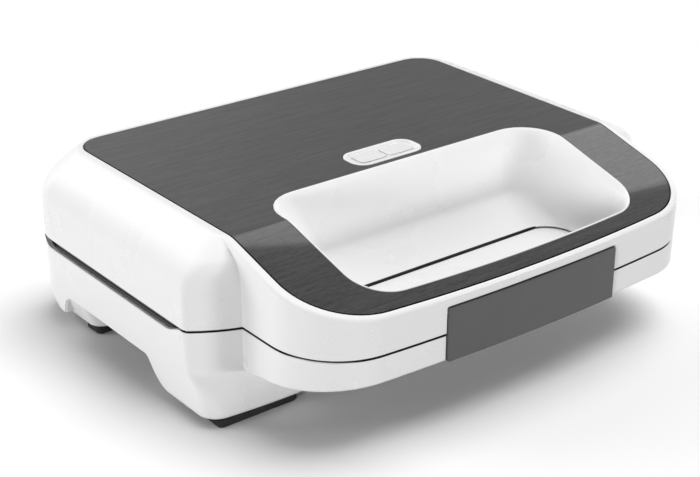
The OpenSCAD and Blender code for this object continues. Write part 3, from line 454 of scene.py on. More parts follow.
def hinge_rod(name, x, length, radius):
    return lying(name, x, length, radius, HINGE_Y, SEAM_Z)

def knuckle(name, x, length, side):
    """One hinge knuckle with its web to the rear wall. Side is 1 for the lid and -1 for the base."""
    edge, inside = HIGH_Z if side > 0 else LOW_Z, REAR_REACH - WALL
    tip = (HINGE_Y + KNUCKLE_R * math.cos(math.radians(30)), SEAM_Z + side * KNUCKLE_R / 2)
    far = edge + side * WEB_H
    web = [(inside, edge), (inside, far), (REAR_REACH + 0.2, far), tip, (HINGE_Y, SEAM_Z)]
    return joined(hinge_rod(name, x, length, KNUCKLE_R), moved(bar(name + "_web", web[::-side], length), x))

def recess_ring(out, reach_of, low, high):
    """The latch's opening, grown outwards, as a ring that lies at a reach for each height."""
    half, low, high, corner = LATCH_HALF + CLEAR + out, low - out, high + out, 1.0 + out
    across = np.linspace(-1, 1, 14)[1:-1] * (half - corner)
    line = np.vstack((
        np.column_stack((across, np.full(12, low))),
        arc((half - corner, low + corner), corner, -90, 0, 4),
        arc((half - corner, high - corner), corner, 0, 90, 4),
        np.column_stack((-across, np.full(12, high))),
        arc((corner - half, high - corner), corner, 90, 180, 4),
        arc((corner - half, low + corner), corner, 180, 270, 4)))
    return [(x, float(bow_y(x, reach_of(z))), z) for x, z in line]

def latch_opening(name, low, high, front_of, ease=0.7):
    """The recess for the latch with rounded mouth edges. Each step is (out, how far in from the front)."""
    steps = [(ease * (1 - math.cos(a)), ease * (1 - math.sin(a))) for a in np.radians(np.linspace(0, 80, 5))]
    rings = [recess_ring(0, lambda z: LATCH_BACK - CLEAR, low, high)]
    for out, back in steps + [(ease * 1.2, -6)]:
        rings.append(recess_ring(out, lambda z, back=back: front_of(z) - back, low, high))
    return swept(name, rings)

def latch_swing(name):
    """The room in which the top edge of the latch turns: widest in the middle, where the front bows most."""
    up = BARREL_R + BARREL_IN - LATCH_EDGE
    wide, slim = (math.hypot(up + dip, up) + LATCH_EDGE + 1.5 * CLEAR for dip in (LATCH_DIP, 0))
    middle, end = 0.05, LATCH_HALF + CLEAR
    return joined(*[rod(name, (-sx * middle, PIVOT_Y, PIVOT_Z), (sx * end, PIVOT_Y, PIVOT_Z), wide, tip=slim)
                    for sx in (-1, 1)])

print("recess:", len(recess_ring(0, lid_front, 30, LATCH_TOP)), "points in a ring")

# %% Cut the latch recess, window and fixings into the lid
FRAME_HALF, FRAME_IN, FRAME_OUT = 60.0, 13.0, 125.0
FRAME_Z, BOSS_LOW = HIGH_Z + 0.3, UPPER_BACK + STUD_H + SHIELD_T

frame_block = kept(handle_block("frame_block", 0.01, FRAME_Z, 0.5, 0, 8),
                   block("box", FRAME_HALF, (-FRAME_OUT, FRAME_Z), (FRAME_IN - HANDLE_REACH, LATCH_TOP + 5)))
joined(lid_shell, frame_block)
for sx in (-1, 1):
    joined(lid_shell, *[upright("boss", sx * SCREW_X, y, BOSS_LOW, DECK_Z + 0.5, BOSS_R) for y in SCREW_Y],
           knuckle("knuckle", sx * HINGE_X, KNUCKLE_L, 1))
cut(lid_shell, latch_opening("latch_opening", 30, LATCH_TOP + 2 * CLEAR, lid_front),
    latch_swing("latch_swing"), following("window", lamp_outline, [(0.15, 6), (0.15, -2)]))
for sx in (-1, 1):
    for y in SCREW_Y:
        cut(lid_shell, upright("seat", sx * SCREW_X, y, SEAT_Z, DECK_Z + 3, HEAD_R + CLEAR),
            upright("shank", sx * SCREW_X, y, 60, DECK_Z + 3, SHANK_R + CLEAR))
    cut(lid_shell, hinge_rod("pin_hole", sx * HINGE_X, KNUCKLE_L + 4, HINGE_PIN_R + 0.05),
        *[hinge_rod("ear_room", sx * HINGE_X + ear * EAR_X, EAR_L + 2 * CLEAR, KNUCKLE_R + 2 * CLEAR)
          for ear in (-1, 1)])
smoothed(lid_shell)
print("finished lid shell:", len(lid_shell.data.polygons), "faces")

# %% [markdown]
# ## The base casing
# The base is a tub that stands on four legs. Its lower edge is rounded, most
# of all at the rear, its sides lean in a little, and the fronts of the legs
# flare forward towards the table. The side walls are scooped, which shows the
# dark rims of the grill plates as a band.

# %% Shape the tub and its shelf under the handle
LEG_Z, SOLE_R, HEEL_R, FLARE_Z, LEG_FLARE = 4.0, 2.5, 14.0, 25.0, 1.5
SIDE_LEAN, BASE_EDGE = math.tan(math.radians(2)), 0.7
SHELF_Z, SHELF_RISE = 24.7, 8.5 / (HANDLE_SEAM - FRONT_REACH)
TUB_HEIGHTS = (0, 0.12, 0.4, 0.9, 1.6, 2.5, 3.6, 5, 6.6, 8.6, 11, 14, 16.5, 19, 21)

def sole(radius, height):
    """How far a rounded lower edge lies inside its wall at a height."""
    return radius - math.sqrt(radius ** 2 - (radius - height) ** 2) if height < radius else 0.0

def tub(name):
    levels = [(h, LEG_Z + h, 0.0) for h in TUB_HEIGHTS]
    levels += [(LOW_Z - d - LEG_Z, LOW_Z - d, i) for i, d in rounding(BASE_EDGE, 3)]
    rings = []
    for h, z, eased in levels:
        flare = math.sin(math.radians(90 * (FLARE_Z - z) / (FLARE_Z - LEG_Z))) ** 2 if z < FLARE_Z else 0.0
        edge, heel = sole(SOLE_R, h) + eased, sole(HEEL_R, h)
        outline = body_outline((LOW_Z - z) * SIDE_LEAN + edge, heel * 0.8 + eased, edge - flare * LEG_FLARE,
                               REAR_R + heel * 0.5, NOSE_R + 5 * flare, BOW_R * (1 + 4 * flare))
        rings.append(ring_at(outline, z))
    return loft(name, rings)

def shelf(name, inset, fine, low_edge=1.6):
    """The part of the base under the handle, with a rising underside."""
    rings = []
    for i, over in reversed(rounding(low_edge, 5)):
        plan = handle_plan(inset + i, HANDLE_SEAM, fine)
        under = SHELF_Z + SHELF_RISE * np.maximum(0, -FRONT_REACH - plan[:, 1])
        rings.append(ring_at(plan, under + inset + over))
    edge = [(inset, LOW_Z - inset)] if inset else [(i, LOW_Z - d) for i, d in rounding(BASE_EDGE, 3)]
    return loft(name, rings + [ring_at(handle_plan(i, HANDLE_SEAM, fine), z) for i, z in edge])

base_shell = joined(tub("base_shell"), shelf("shelf", 0, 20))
print("base outside:", len(base_shell.data.polygons), "faces")

# %% [markdown]
# The spaces under the base are cut with bars along X. The one between the
# legs has an S-shaped front end. Where a cut leaves a wall that shows, its
# bar gets wider at the wall, which eases the edge like a real moulding. The
# rear legs are blocks of their own, which lean in towards their feet.

# %% Shape the notch between the legs, the side slots and the rear legs
BELLY_Z, NOTCH_FRONT, NOTCH_REAR, NOTCH_END_R = 18.2, 2.0, 79.0, 9.0
SCOOP_Z, SLOT_FRONT, SLOT_BACK, SLOT_RAMP = 42.4, 38.5, 102.0, 15.0
LEG_W, LEG_TOE, LEG_HIP, LEG_Y, LEG_DEPTH, LEG_R = 56.0, 142.2, 148.2, 75.0, 17.0, 8.0

def bezier(p, steps):
    """Points on a curve from four control points."""
    t = np.linspace(0, 1, steps + 1)[:, None]
    p = [np.array(q, float) for q in p]
    return (1 - t) ** 3 * p[0] + 3 * (1 - t) ** 2 * t * p[1] + 3 * (1 - t) * t ** 2 * p[2] + t ** 3 * p[3]

def notch_line(out):
    """The opening between the legs, as (Y, Z) points from its rear to its front, grown by out."""
    rise, toe, end_r = BELLY_Z - LEG_Z, -NOTCH_FRONT - 22 - out, NOTCH_END_R
    return np.vstack((
        [(NOTCH_REAR + out, -1)], arc((NOTCH_REAR - end_r, BELLY_Z - end_r), end_r + out, 0, 90, 10),
        bezier([(-NOTCH_FRONT, BELLY_Z + out), (-NOTCH_FRONT - 4 - out, BELLY_Z + out),
                (-NOTCH_FRONT - 5.5 - out, LEG_Z + rise * 0.2), (toe, LEG_Z + out * 0.5)], 14), [(toe, -1)]))

def slot_line(out):
    """The side slot in the same way, from its front to its rear. Both ends are eased ramps."""
    rise = LOW_Z - SCOOP_Z + out
    ease = [(SLOT_RAMP * t, rise * (1 - math.cos(math.pi * t)) / 2) for t in np.linspace(0, 1, 13)]
    return [(-SLOT_FRONT, LOW_Z + 3), *[(u - SLOT_FRONT, LOW_Z - v) for u, v in ease],
            *[(SLOT_BACK - SLOT_RAMP + u, SCOOP_Z - out + v) for u, v in ease], (SLOT_BACK, LOW_Z + 3)]

def flared_bar(name, line_of, widths):
    """A bar along X whose section changes: widths lists (x, out) from the middle outwards."""
    stations = [(-x, out) for x, out in reversed(widths)] + widths
    return swept(name, [[(x, y, z) for y, z in line_of(out)] for x, out in stations])

def mouth(wall, ease=0.8):
    """Widths of a bar that opens softly in a wall at a given x."""
    steps = ((1, 0), (0.5, 0.13), (0.15, 0.47), (0, 1))
    return [(wall - back * ease, out * ease) for back, out in steps] + [(wall + 8, ease)]

def rear_leg(name, sx, inset):
    """A rear leg with a softened sole."""
    inner, depth, height, rings = BODY_HALF - LEG_W + inset, LEG_DEPTH - inset, BELLY_Z - LEG_Z, []
    for e, h in [(1, 0), (0.55, 0.12), (0.2, 0.45), (0.03, 0.9), (0, 1.3), (0, height), (0, height + 2.5)]:
        outer = LEG_TOE + (LEG_HIP - LEG_TOE) * min(1, h / height) - inset
        plan = slab_outline((outer - inner) / 2 - e, depth - e, LEG_R - e, 8)
        rings.append(ring_at(plan + (sx * (inner + outer) / 2, LEG_Y), LEG_Z + h + inset))
    return loft(name, rings)

print("notch:", len(notch_line(0)), "points, side slot:", len(slot_line(0)), "points")

# %% Cut the underside, add the legs and open the side slots
SKIRT_Z, UNDER, NOTCH_MOUTH, SLOT_MOUTH, SLOT_IN = 7.7, -1.0, 148.4, 149.9, 137.0
BELLY_HALF, BELLY_FRONT, HALL_REAR = BODY_HALF - LEG_W, -64.0, 58.0
BOSS_TOP = LOWER_BACK - STUD_H - SHIELD_T

def plate_room(out=0.0):
    """The plan of a grill plate's rim, and of its seat in the base."""
    return body_outline(2.0 - out, 5.5 - out, 3.5 - out, REAR_R + 2 + out, 22 + out, fine=4)

cut(base_shell, flared_bar("notch", notch_line, [(80, 0)] + mouth(NOTCH_MOUTH)),
    block("belly", BELLY_HALF, (BELLY_FRONT, UNDER), (FAR, BELLY_Z)),
    block("skirt", FAR, (0, UNDER), (FAR, SKIRT_Z)))
inner = stack("inner", lambda lean: body_outline(WALL + lean, WALL, WALL, REAR_R - WALL, NOSE_R - 1, fine=2),
              [((LOW_Z - z) * SIDE_LEAN, z) for z in (LEG_Z + WALL, LOW_Z + 1)])
cut(inner, flared_bar("notch_in", lambda out: notch_line(WALL), [(FAR, 0)]),
    block("belly_in", BELLY_HALF + WALL, (BELLY_FRONT, UNDER), (FAR, BELLY_Z + WALL)),
    block("rear_in", FAR, (HALL_REAR, UNDER), (FAR, BELLY_Z + WALL)))
cut(base_shell, joined(inner, shelf("shelf_in", WALL, 6, 0.5)))
for sx in (-1, 1):
    joined(base_shell, rear_leg("rear_leg", sx, 0),
           *[upright("boss", sx * SCREW_X, y, BELLY_Z + 0.5, BOSS_TOP, BOSS_R) for y in SCREW_Y],
           *[knuckle("ear", sx * HINGE_X + ear * EAR_X, EAR_L, -1) for ear in (-1, 1)])
frame_low = block("frame_low", FRAME_HALF, (-FRAME_OUT, 18), (FRAME_IN - HANDLE_REACH, LOW_Z - BASE_EDGE))
joined(base_shell, kept(shelf("frame_shelf", 0, 6), frame_low))
for sx in (-1, 1):
    cut(base_shell, rear_leg("leg_room", sx, WALL))
    for y in SCREW_Y:
        cut(base_shell, upright("head_room", sx * SCREW_X, y, 0, BELLY_Z + HEAD_H, HEAD_R + CLEAR),
            upright("shank", sx * SCREW_X, y, 10, 40, SHANK_R + CLEAR))
    cut(base_shell, hinge_rod("knuckle_room", sx * HINGE_X, KNUCKLE_L + 2 * CLEAR, KNUCKLE_R + 2 * CLEAR),
        hinge_rod("pin_hole", sx * HINGE_X, HINGE_PIN_L, HINGE_PIN_R + 0.01))
slots = flared_bar("side_slots", slot_line, mouth(SLOT_MOUTH, 0.7))
cut(base_shell, cut(slots, block("middle", SLOT_IN, (-FAR, 0), (FAR, 80))),
    stack("rim_seat", lambda out: plate_room(), [(0, SCOOP_Z), (0, 80)]),
    latch_opening("latch_opening", 0, 70, lambda z: HANDLE_SEAM),
    block("hook_room", HOOK_HALF + CLEAR, (-LATCH_BACK, HOOK_LOW - 0.8),
          (HOOK_REACH + 0.8 - LATCH_BACK, HOOK_HIGH + CLEAR)),
    rod("gland_hole", (0, 100, GLAND_Z), (0, 130, GLAND_Z), GLAND_R + 0.1))
smoothed(base_shell)
print("finished base shell:", len(base_shell.data.polygons), "faces")

# %% [markdown]
# ## Trim, latch and feet
# The trim is one thin dark sheet that bends down over the handle. Its cut
# edges are painted black, as painted shade of the narrow gaps round its
# outline, the well and the window, where they draw a fine dark line. Those
# faces are marked here, so that the finish can darken them.

# %% Make the trim plate
HOLE_GAP = 0.15

def mark_cut_edges(made, flat=0.96):
    """Notes on every face whether it turns away from the sheet, as an attribute for the finish."""
    mesh = made.data
    mark = mesh.attributes.new("cut_edge", "FLOAT", "FACE")
    for k, face in enumerate(mesh.polygons):
        y = face.center.y / SCALE
        fall = float(top_at(y + 0.5) - top_at(y - 0.5))
        along = (face.normal.z - fall * face.normal.y) / math.hypot(1, fall)
        mark.data[k].value = 0.0 if abs(along) > flat else 1.0
    print(made.name, "cut edge faces:", sum(1 for m in mark.data if m.value))

def lip_outline(out):
    corner = WELL_R + out
    return bowed_outline(WELL_HALF + out, out - WELL_REAR, WELL_FRONT + out, corner, corner, side=30)

def hole_edge(out):
    """Steps through the sheet that open a little at its upper face."""
    return [(out, TRIM_T + 1), (out, 0.2), (out + 0.25, -0.05), (out + 0.25, -1)]

trim_sheet = following("trim_sheet", trim_outline, [(0, TRIM_T), (0, 0.24), (-0.46, 0)])
cut(trim_sheet, following("lip_hole", lip_outline, hole_edge(LIP_W + HOLE_GAP)),
    following("lamp_hole", lamp_outline, hole_edge(HOLE_GAP)))
mark_cut_edges(trim_sheet)
trim_sheet.data.shade_smooth()
trim_sheet.data.set_sharp_from_angle(angle=math.radians(20))

# %% [markdown]
# The latch is a bowed plate of satin plastic. It hangs from a barrel along
# its top edge and swings out at the bottom, where a hook grips the base. Its
# profile has a rolled top and soft corners, and its ends are rounded by
# drawing the last few profiles smaller.

# %% Make the latch
def latch_profile(x, shrink=0.0, foot=0.5, heel=0.3):
    """The latch's section at x as (y, z) points, anticlockwise seen from +X."""
    front, back = float(bow_y(x, LATCH_REACH)) + shrink * 0.6, float(bow_y(x, LATCH_BACK)) - shrink * 0.25
    low, top = LATCH_LOW + shrink, LATCH_TOP - shrink
    return np.vstack((arc((front + foot, low + foot), foot, 180, 270, 4),
                      arc((back - heel, low + heel), heel, 270, 360, 3),
                      arc((back - heel, top - heel), heel, 0, 90, 3),
                      arc((front + LATCH_EDGE, top - LATCH_EDGE), LATCH_EDGE, 90, 180, 6)))

def latch_stations(end=0.8):
    """Where the sections stand along X, and how much smaller the last ones are."""
    turn = np.radians((0, 20, 42, 66, 90))
    ends = [(LATCH_HALF - end * (1 - math.sin(a)), end * (1 - math.cos(a))) for a in turn]
    middle = [(float(x), 0.0) for x in np.linspace(7 - LATCH_HALF, LATCH_HALF - 7, 25)]
    return [(-x, e) for x, e in reversed(ends)] + middle + ends

hook_root, hook_tip = -LATCH_BACK - 0.3, HOOK_REACH - LATCH_BACK
hook_profile = [(hook_root, HOOK_LOW), (hook_tip - 0.6, HOOK_LOW), (hook_tip, HOOK_LOW + 0.6),
                (hook_tip, HOOK_HIGH - 0.4), (hook_tip - 0.4, HOOK_HIGH), (hook_root, HOOK_HIGH)]
latch_plate = swept("latch_plate", [[(x, y, z) for y, z in latch_profile(x, e)] for x, e in latch_stations()])
joined(latch_plate, lying("barrel", 0, 2 * LATCH_HALF - 1.2, BARREL_R, PIVOT_Y, PIVOT_Z),
       bar("hook", hook_profile, 2 * HOOK_HALF))
cut(latch_plate, lying("bore", 0, 2 * LATCH_HALF + 4, CATCH_PIN_R + 0.05, PIVOT_Y, PIVOT_Z))
smoothed(latch_plate, 28)
print("latch:", len(latch_plate.data.polygons), "faces")

# %% [markdown]
# Four rubber feet stand under the legs. Each has a rounded plan, a softened
# tread and three shallow grooves across its underside for grip.

# %% Make the feet
FOOT_DEPTH, FOOT_R, GROOVE_PITCH, GROOVE_L = 14.0, 3.0, 3.5, 320
FRONT_FOOT, REAR_FOOT = (120.0, 7.5 - FRONT_REACH, 46.0), (126.0, REAR_REACH - 49, 30.0)
GROOVE = [(-0.6, -1), (0.6, -1), (0.6, 0.3), (0, 0.5), (-0.6, 0.3)]

def rubber_foot(name, x, y, width):
    foot = stack(name, lambda out: slab_outline(width / 2 + out, FOOT_DEPTH / 2 + out, FOOT_R + out) + (x, y),
                 [(-0.8, 0), (-0.5, 0.12), (-0.22, 0.38), (-0.06, 0.7), (0, 1.1), (0, LEG_Z)])
    for k in (-1, 0, 1):
        cut(foot, bar("groove", [(y + k * GROOVE_PITCH + t, z) for t, z in GROOVE], GROOVE_L))
    return smoothed(foot, 35)

feet = {}
for side, sx in (("left", -1), ("right", 1)):
    for end, (x, y, width) in (("front", FRONT_FOOT), ("rear", REAR_FOOT)):
        feet[end, side] = rubber_foot(f"{end}_{side}_rubber", sx * x, y, width)
print("feet:", len(feet))

# %% [markdown]
# ## Grill plates
# Each plate is one casting: a thin rim that shows in the side slots, two deep
# pockets split by a sealing ridge on the diagonal, and four screw studs. The
# pockets have drafted walls, a generous fillet at the bottom and a soft edge
# at the face. It is made face down at height zero and then put in place.

# %% Cast the grill plates
RIM_T, RIDGE, HALF_R, FACE_R, CAST_DRAFT, FILLET_Z, PAN_R = 1.65, 6.0, 9.0, 0.8, 0.42, 8.2, 8.0

def triangle(inset, fine=7):
    """One half of a pocket, inset from its edge."""
    r, e = HALF_R, HALF_R - inset
    leg = POCKET - RIDGE * math.sqrt(0.5) - r * (2 + math.sqrt(2))
    return np.vstack((arc((r, r), e, 180, 270, fine), arc((r + leg, r), e, -90, 45, fine),
                      arc((r, r + leg), e, 45, 180, fine)))

def pocket_steps():
    """(inset, z) steps of a pocket: a soft edge at the face, a drafted wall and a fillet at the bottom."""
    face = [(-FACE_R * (1 - math.sin(a)), FACE_R * (1 - math.cos(a))) for a in np.radians((25, 50, 75))]
    wall = [(CAST_DRAFT * (z - FACE_R), z) for z in (3, 6, FILLET_Z)]
    foot, deep = wall[-1][0], POCKET_DEEP - FILLET_Z
    bend = [(foot + 3.6 * (1 - math.cos(a)) + 0.3 * math.sin(a), FILLET_Z + deep * math.sin(a))
            for a in np.radians((18, 36, 54, 72, 90))]
    return [(-1.0, -1.3), (-FACE_R, -0.02)] + face + wall + bend

def pocket_half(name, sx, turned):
    """A triangle to cut out, on one side of the ridge or turned to the other."""
    rings = []
    for inset, z in pocket_steps():
        plan = triangle(inset) - POCKET / 2
        plan = -plan if turned else plan
        rings.append([(sx * (x + POCKET_X), y + POCKET_Y, z) for x, y in plan])
    if sx < 0:
        rings = [ring[::-1] for ring in rings]
    return swept(name, rings)

def grill_plate(name, rim_t):
    plate = stack(name, plate_room, [(-0.4, 0), (-0.15, 0.08), (0, 0.35), (0, rim_t)])
    pan_half, back = POCKET / 2 + CAST_T, POCKET_DEEP + CAST_T
    for sx in (-1, 1):
        middle = (sx * POCKET_X, POCKET_Y)
        pan = stack("pan", lambda e: slab_outline(pan_half - e, pan_half - e, PAN_R) + middle,
                    [(0, 0.6), (2.9, 12.4), (3.6, 14.2), (4.6, back)])
        joined(plate, pan, *[upright("stud", sx * SCREW_X, y, 10, back + STUD_H, 5) for y in SCREW_Y])
    for sx in (-1, 1):
        cut(plate, pocket_half("near_half", sx, False), pocket_half("far_half", sx, True),
            *[upright("thread", sx * SCREW_X, y, back + 0.5, 40, SHANK_R + 0.01) for y in SCREW_Y])
    return plate

lower_grill, upper_grill = grill_plate("lower_grill", RIM_T), grill_plate("upper_grill", HIGH_Z - UPPER_FACE)
moved(upper_grill, 0, 0, UPPER_FACE)
moved(lower_grill, 0, 0, LOWER_FACE, Matrix.Scale(-1, 4, (0, 0, 1)))
lower_grill.data.flip_normals()
for plate in (lower_grill, upper_grill):
    smoothed(plate, 40)
    print(plate.name, len(plate.data.polygons), "faces")

# %% [markdown]
# ## Finishes
# Every finish is made of nodes that read the piece's own coordinates, so the
# grain moves with the piece when the lid opens. A small class keeps the
# formulas readable: a wire is a value on its way through the nodes, and sums
# and products of wires become nodes by themselves.

# %% A wire through a material's nodes
class Wire:
    def __init__(self, tree, socket):
        self.tree, self.socket = tree, socket

    def make(self, kind, inputs, output=0, **settings):
        """Any other node: its settings first, then its inputs as values or wires."""
        node = self.tree.nodes.new("ShaderNode" + kind)
        for name, value in settings.items():
            setattr(node, name, value)
        for name, value in inputs.items():
            self.feed(node.inputs[name], value)
        return Wire(self.tree, node.outputs[output])

    def feed(self, socket, value):
        if isinstance(value, Wire):
            self.tree.links.new(value.socket, socket)
        else:
            socket.default_value = value

    def math(self, operation, *values):
        return self.make("Math", dict(enumerate(values)), operation=operation)

    def __add__(self, other):
        return self.math("ADD", self, other)

    def __sub__(self, other):
        return self.math("SUBTRACT", self, other)

    def __rsub__(self, other):
        return self.math("SUBTRACT", other, self)

    def __mul__(self, other):
        return self.math("MULTIPLY", self, other)

    def __truediv__(self, other):
        return self.math("DIVIDE", self, other)

    def __rtruediv__(self, other):
        return self.math("DIVIDE", other, self)

    __radd__, __rmul__ = __add__, __mul__

    def least(self, other):
        return self.math("MINIMUM", self, other)

    def most(self, other):
        return self.math("MAXIMUM", self, other)

    def root(self):
        return self.math("SQRT", self)

    def size(self):
        return self.math("ABSOLUTE", self)

    def ramp(self, low, high, start=0.0, stop=1.0):
        """From start to stop while the wire goes from low to high."""
        limits = {"From Min": low, "From Max": high, "To Min": start, "To Max": stop}
        return self.make("MapRange", {"Value": self, **limits}, interpolation_type="SMOOTHSTEP")

    def blend(self, first, second):
        """A colour between two others, with this wire as the share of the second."""
        return self.make("Mix", {0: self, 6: first, 7: second}, output=2, data_type="RGBA")

    def stretched(self, x, y, z):
        """Coordinates multiplied along each axis, which sets the size of a grain."""
        return self.make("VectorMath", {0: self, 1: (x, y, z)}, operation="MULTIPLY")

    def axes(self):
        node = self.make("SeparateXYZ", {0: self}).socket.node
        return [Wire(self.tree, out) for out in node.outputs]

    def noise(self, scale, detail=2.0, roughness=0.5):
        inputs = {"Vector": self, "Scale": scale, "Detail": detail, "Roughness": roughness}
        return self.make("TexNoise", inputs)

    def cells(self, scale, output="Distance"):
        return self.make("TexVoronoi", {"Vector": self, "Scale": scale}, output=output)

    def bump(self, height_mm):
        """A normal from this wire as a relief, whose full height is given in millimetres."""
        return self.make("Bump", {"Height": self, "Distance": height_mm * SCALE})

def grey(value, warm=0.0):
    return (value * (1 + warm), value, value * (1 - warm), 1.0)

finishes = {}

def finish(name, recipe, **constants):
    """A material whose recipe turns coordinates into the inputs that vary."""
    material = bpy.data.materials.new(name)
    material.use_nodes = True
    tree = material.node_tree
    shader = tree.nodes["Principled BSDF"]
    for key, value in constants.items():
        shader.inputs[key.replace("_", " ")].default_value = value
    where = Wire(tree, tree.nodes.new("ShaderNodeTexCoord").outputs["Object"])
    for key, value in recipe(where).items():
        where.feed(shader.inputs[key], value)
    finishes[name] = material
    print("finish", name, "with", len(tree.nodes), "nodes")
    return material

# %% [markdown]
# The casings are glossy white plastic. Moulded gloss is never perfectly flat:
# it has a very shallow orange peel, and its gloss changes a little where the
# melt flowed. The dark plastic of the latch is the same kind of moulding with
# a satin skin. The feet are matt rubber with a fine speckle. The faces inside
# the joint are painted near black close to its edge, as painted shade that
# draws the dark seam line between the casings.

# %% Mix the plastics and the rubber
WHITE, BLACK = 0.85, 0.004
SHADE_STARTS, SHADE_ENDS, SHADE_LEVELS = (-0.9, -0.5), (1.5, 2.0), (0.56, 0.74)

def corner_distance(across, along, radius):
    """How far inside a rounded corner a point lies, from its overshoot past the corner's centre both ways."""
    across, along = across.most(0.0), along.most(0.0)
    return radius - (across * across + along * along).root()

def joint_shade(where):
    """Painted shade: 1 on the faces inside the joint between the casings, close to an edge that is seen from
    outside.
    """
    x, y, z = where.stretched(1 / SCALE, 1 / SCALE, 1 / SCALE).axes()
    x = x.size()
    straight = y - x * x / (2 * (BOW_BACK + HANDLE_SEAM))
    handle = corner_distance(x - (HANDLE_HALF - HANDLE_R), (HANDLE_R - HANDLE_SEAM) - straight, HANDLE_R)
    handle = handle - (y - HANDLE_BACK).most(0.0) * 10
    body = corner_distance(x - (BODY_HALF - REAR_R), y - (REAR_REACH - REAR_R), REAR_R)
    body = body.least(corner_distance(x - BOW_X, (BOW_R - FRONT_REACH) - y, BOW_R))
    inside = handle.most(body)
    edge = inside.ramp(*SHADE_STARTS) * inside.ramp(*SHADE_ENDS, 1.0, 0.0)
    return edge * (z - SEAM_Z).size().ramp(*SHADE_LEVELS, 1.0, 0.0)

def glossy_white(where):
    peel = where.noise(900, detail=1.0)
    flow = where.stretched(1, 1.6, 1).noise(14, detail=3.0)
    unshaded_white = flow.ramp(0.3, 0.7).blend(grey(WHITE), grey(WHITE + 0.004, 0.001))
    # Painted shade: faces inside the joint near its edge are painted near black.
    return {"Base Color": joint_shade(where).blend(unshaded_white, grey(BLACK)),
            "Roughness": flow.ramp(0.25, 0.75, 0.24, 0.31) + peel * 0.02,
            "Normal": peel.bump(0.006)}

def satin_grey(where):
    grain = where.noise(2600)
    tone = where.noise(30, detail=3.0)
    return {"Base Color": tone.ramp(0.3, 0.7).blend(grey(0.087), grey(0.096, 0.01)),
            "Roughness": tone.ramp(0.2, 0.8, 0.42, 0.5) + grain * 0.06,
            "Normal": grain.bump(0.012)}

def matt_rubber(where):
    wear = where.noise(60, detail=4.0)
    return {"Base Color": wear.ramp(0.35, 0.75).blend(grey(0.018), grey(0.032)),
            "Roughness": wear.ramp(0.2, 0.8, 0.62, 0.8),
            "Normal": where.cells(1800).bump(0.02)}

finish("white_plastic", glossy_white, IOR=1.49)
finish("latch_plastic", satin_grey, IOR=1.5)
finish("foot_rubber", matt_rubber, IOR=1.45)

# %% [markdown]
# The trim plate is dark anodised sheet, brushed from side to side. The brush
# leaves long fine lines that change the gloss far more than the colour. The
# grill plates are cast and sprayed with a satin dark coat, which shows tiny
# flecks and the slightly uneven skin of sprayed paint.

# %% Mix the metals
TRIM_GREY = 0.105

def brushed_trim(where):
    fine = where.stretched(230, 2600, 2600).noise(1.0, detail=3.0, roughness=0.65)
    broad = where.stretched(40, 700, 700).noise(1.0)
    edge = where.make("Attribute", {}, output=2, attribute_name="cut_edge")
    brush = (fine * 0.7 + broad * 0.3).ramp(0.36, 0.64)
    sheet = brush.blend(grey(TRIM_GREY * 0.7), grey(TRIM_GREY * 1.35, 0.004))
    # Painted shade: the marked cut edge faces are painted near black for the dark gaps round the sheet.
    return {"Base Color": edge.blend(sheet, grey(BLACK)),
            "Roughness": fine.ramp(0.3, 0.7, 0.36, 0.48) + edge * 0.3,
            "Coat Weight": fine.ramp(0.3, 0.7, 0.93, 1.0) - edge,
            "Normal": fine.bump(0.002)}

def sprayed_plate(where):
    fleck = where.cells(2200)
    skin = where.noise(700)
    worn = where.noise(40, detail=4.0)
    coat = worn.ramp(0.3, 0.7).blend(grey(0.022), grey(0.034))
    return {"Base Color": fleck.ramp(0.05, 0.16).blend(grey(0.11), coat),
            "Roughness": worn.ramp(0.25, 0.75, 0.3, 0.42),
            "Normal": (skin + fleck * 0.3).bump(0.012)}

def browned_steel(where):
    heat = where.noise(55, detail=4.0)
    return {"Base Color": heat.ramp(0.3, 0.7).blend((0.2, 0.16, 0.12, 1), (0.1, 0.095, 0.1, 1)),
            "Roughness": heat.ramp(0.2, 0.8, 0.34, 0.6),
            "Normal": where.noise(900).bump(0.02)}

def spangled_zinc(where):
    spangle = where.cells(260, output="Color")
    tone = where.noise(35, detail=3.0)
    return {"Base Color": tone.blend(grey(0.42), grey(0.56)),
            "Roughness": spangle.make("RGBToBW", {0: spangle}) * 0.22 + 0.28,
            "Normal": tone.bump(0.03)}

def plated_steel(where):
    turned = where.noise(1400)
    return {"Base Color": where.noise(120).blend(grey(0.45, 0.01), grey(0.6)),
            "Roughness": turned.ramp(0.2, 0.8, 0.22, 0.36),
            "Normal": turned.bump(0.004)}

finish("dark_trim", brushed_trim, Metallic=1.0, Coat_Roughness=0.03, Coat_IOR=1.5)
finish("nonstick_plate", sprayed_plate, IOR=1.5, Specular_IOR_Level=0.55)
finish("element_steel", browned_steel, Metallic=0.85)
finish("zinc_sheet", spangled_zinc, Metallic=1.0)
finish("screw_steel", plated_steel, Metallic=1.0)

# %% [markdown]
# The small electrical pieces come last: a steatite terminal block with a
# chalky skin, the milky window over the lamps, and the two neon lamps with
# their tinted glass.

# %% Mix the ceramic, the window and the lamp caps
def chalky(where):
    grain = where.noise(1500, detail=3.0)
    return {"Base Color": where.noise(90, detail=3.0).blend(grey(0.72, 0.02), grey(0.8, 0.02)),
            "Roughness": grain.ramp(0.2, 0.8, 0.55, 0.75),
            "Normal": grain.bump(0.02)}

def milky_window(where):
    haze = where.noise(500)
    return {"Base Color": haze.blend(grey(0.93), grey(0.96)),
            "Roughness": haze.ramp(0.2, 0.8, 0.12, 0.2),
            "Normal": haze.bump(0.002)}

def tinted(first, second):
    def recipe(where):
        cloud = where.noise(300, detail=3.0)
        return {"Base Color": cloud.blend(first, second),
                "Roughness": cloud.ramp(0.2, 0.8, 0.12, 0.22),
                "Normal": cloud.bump(0.004)}
    return recipe

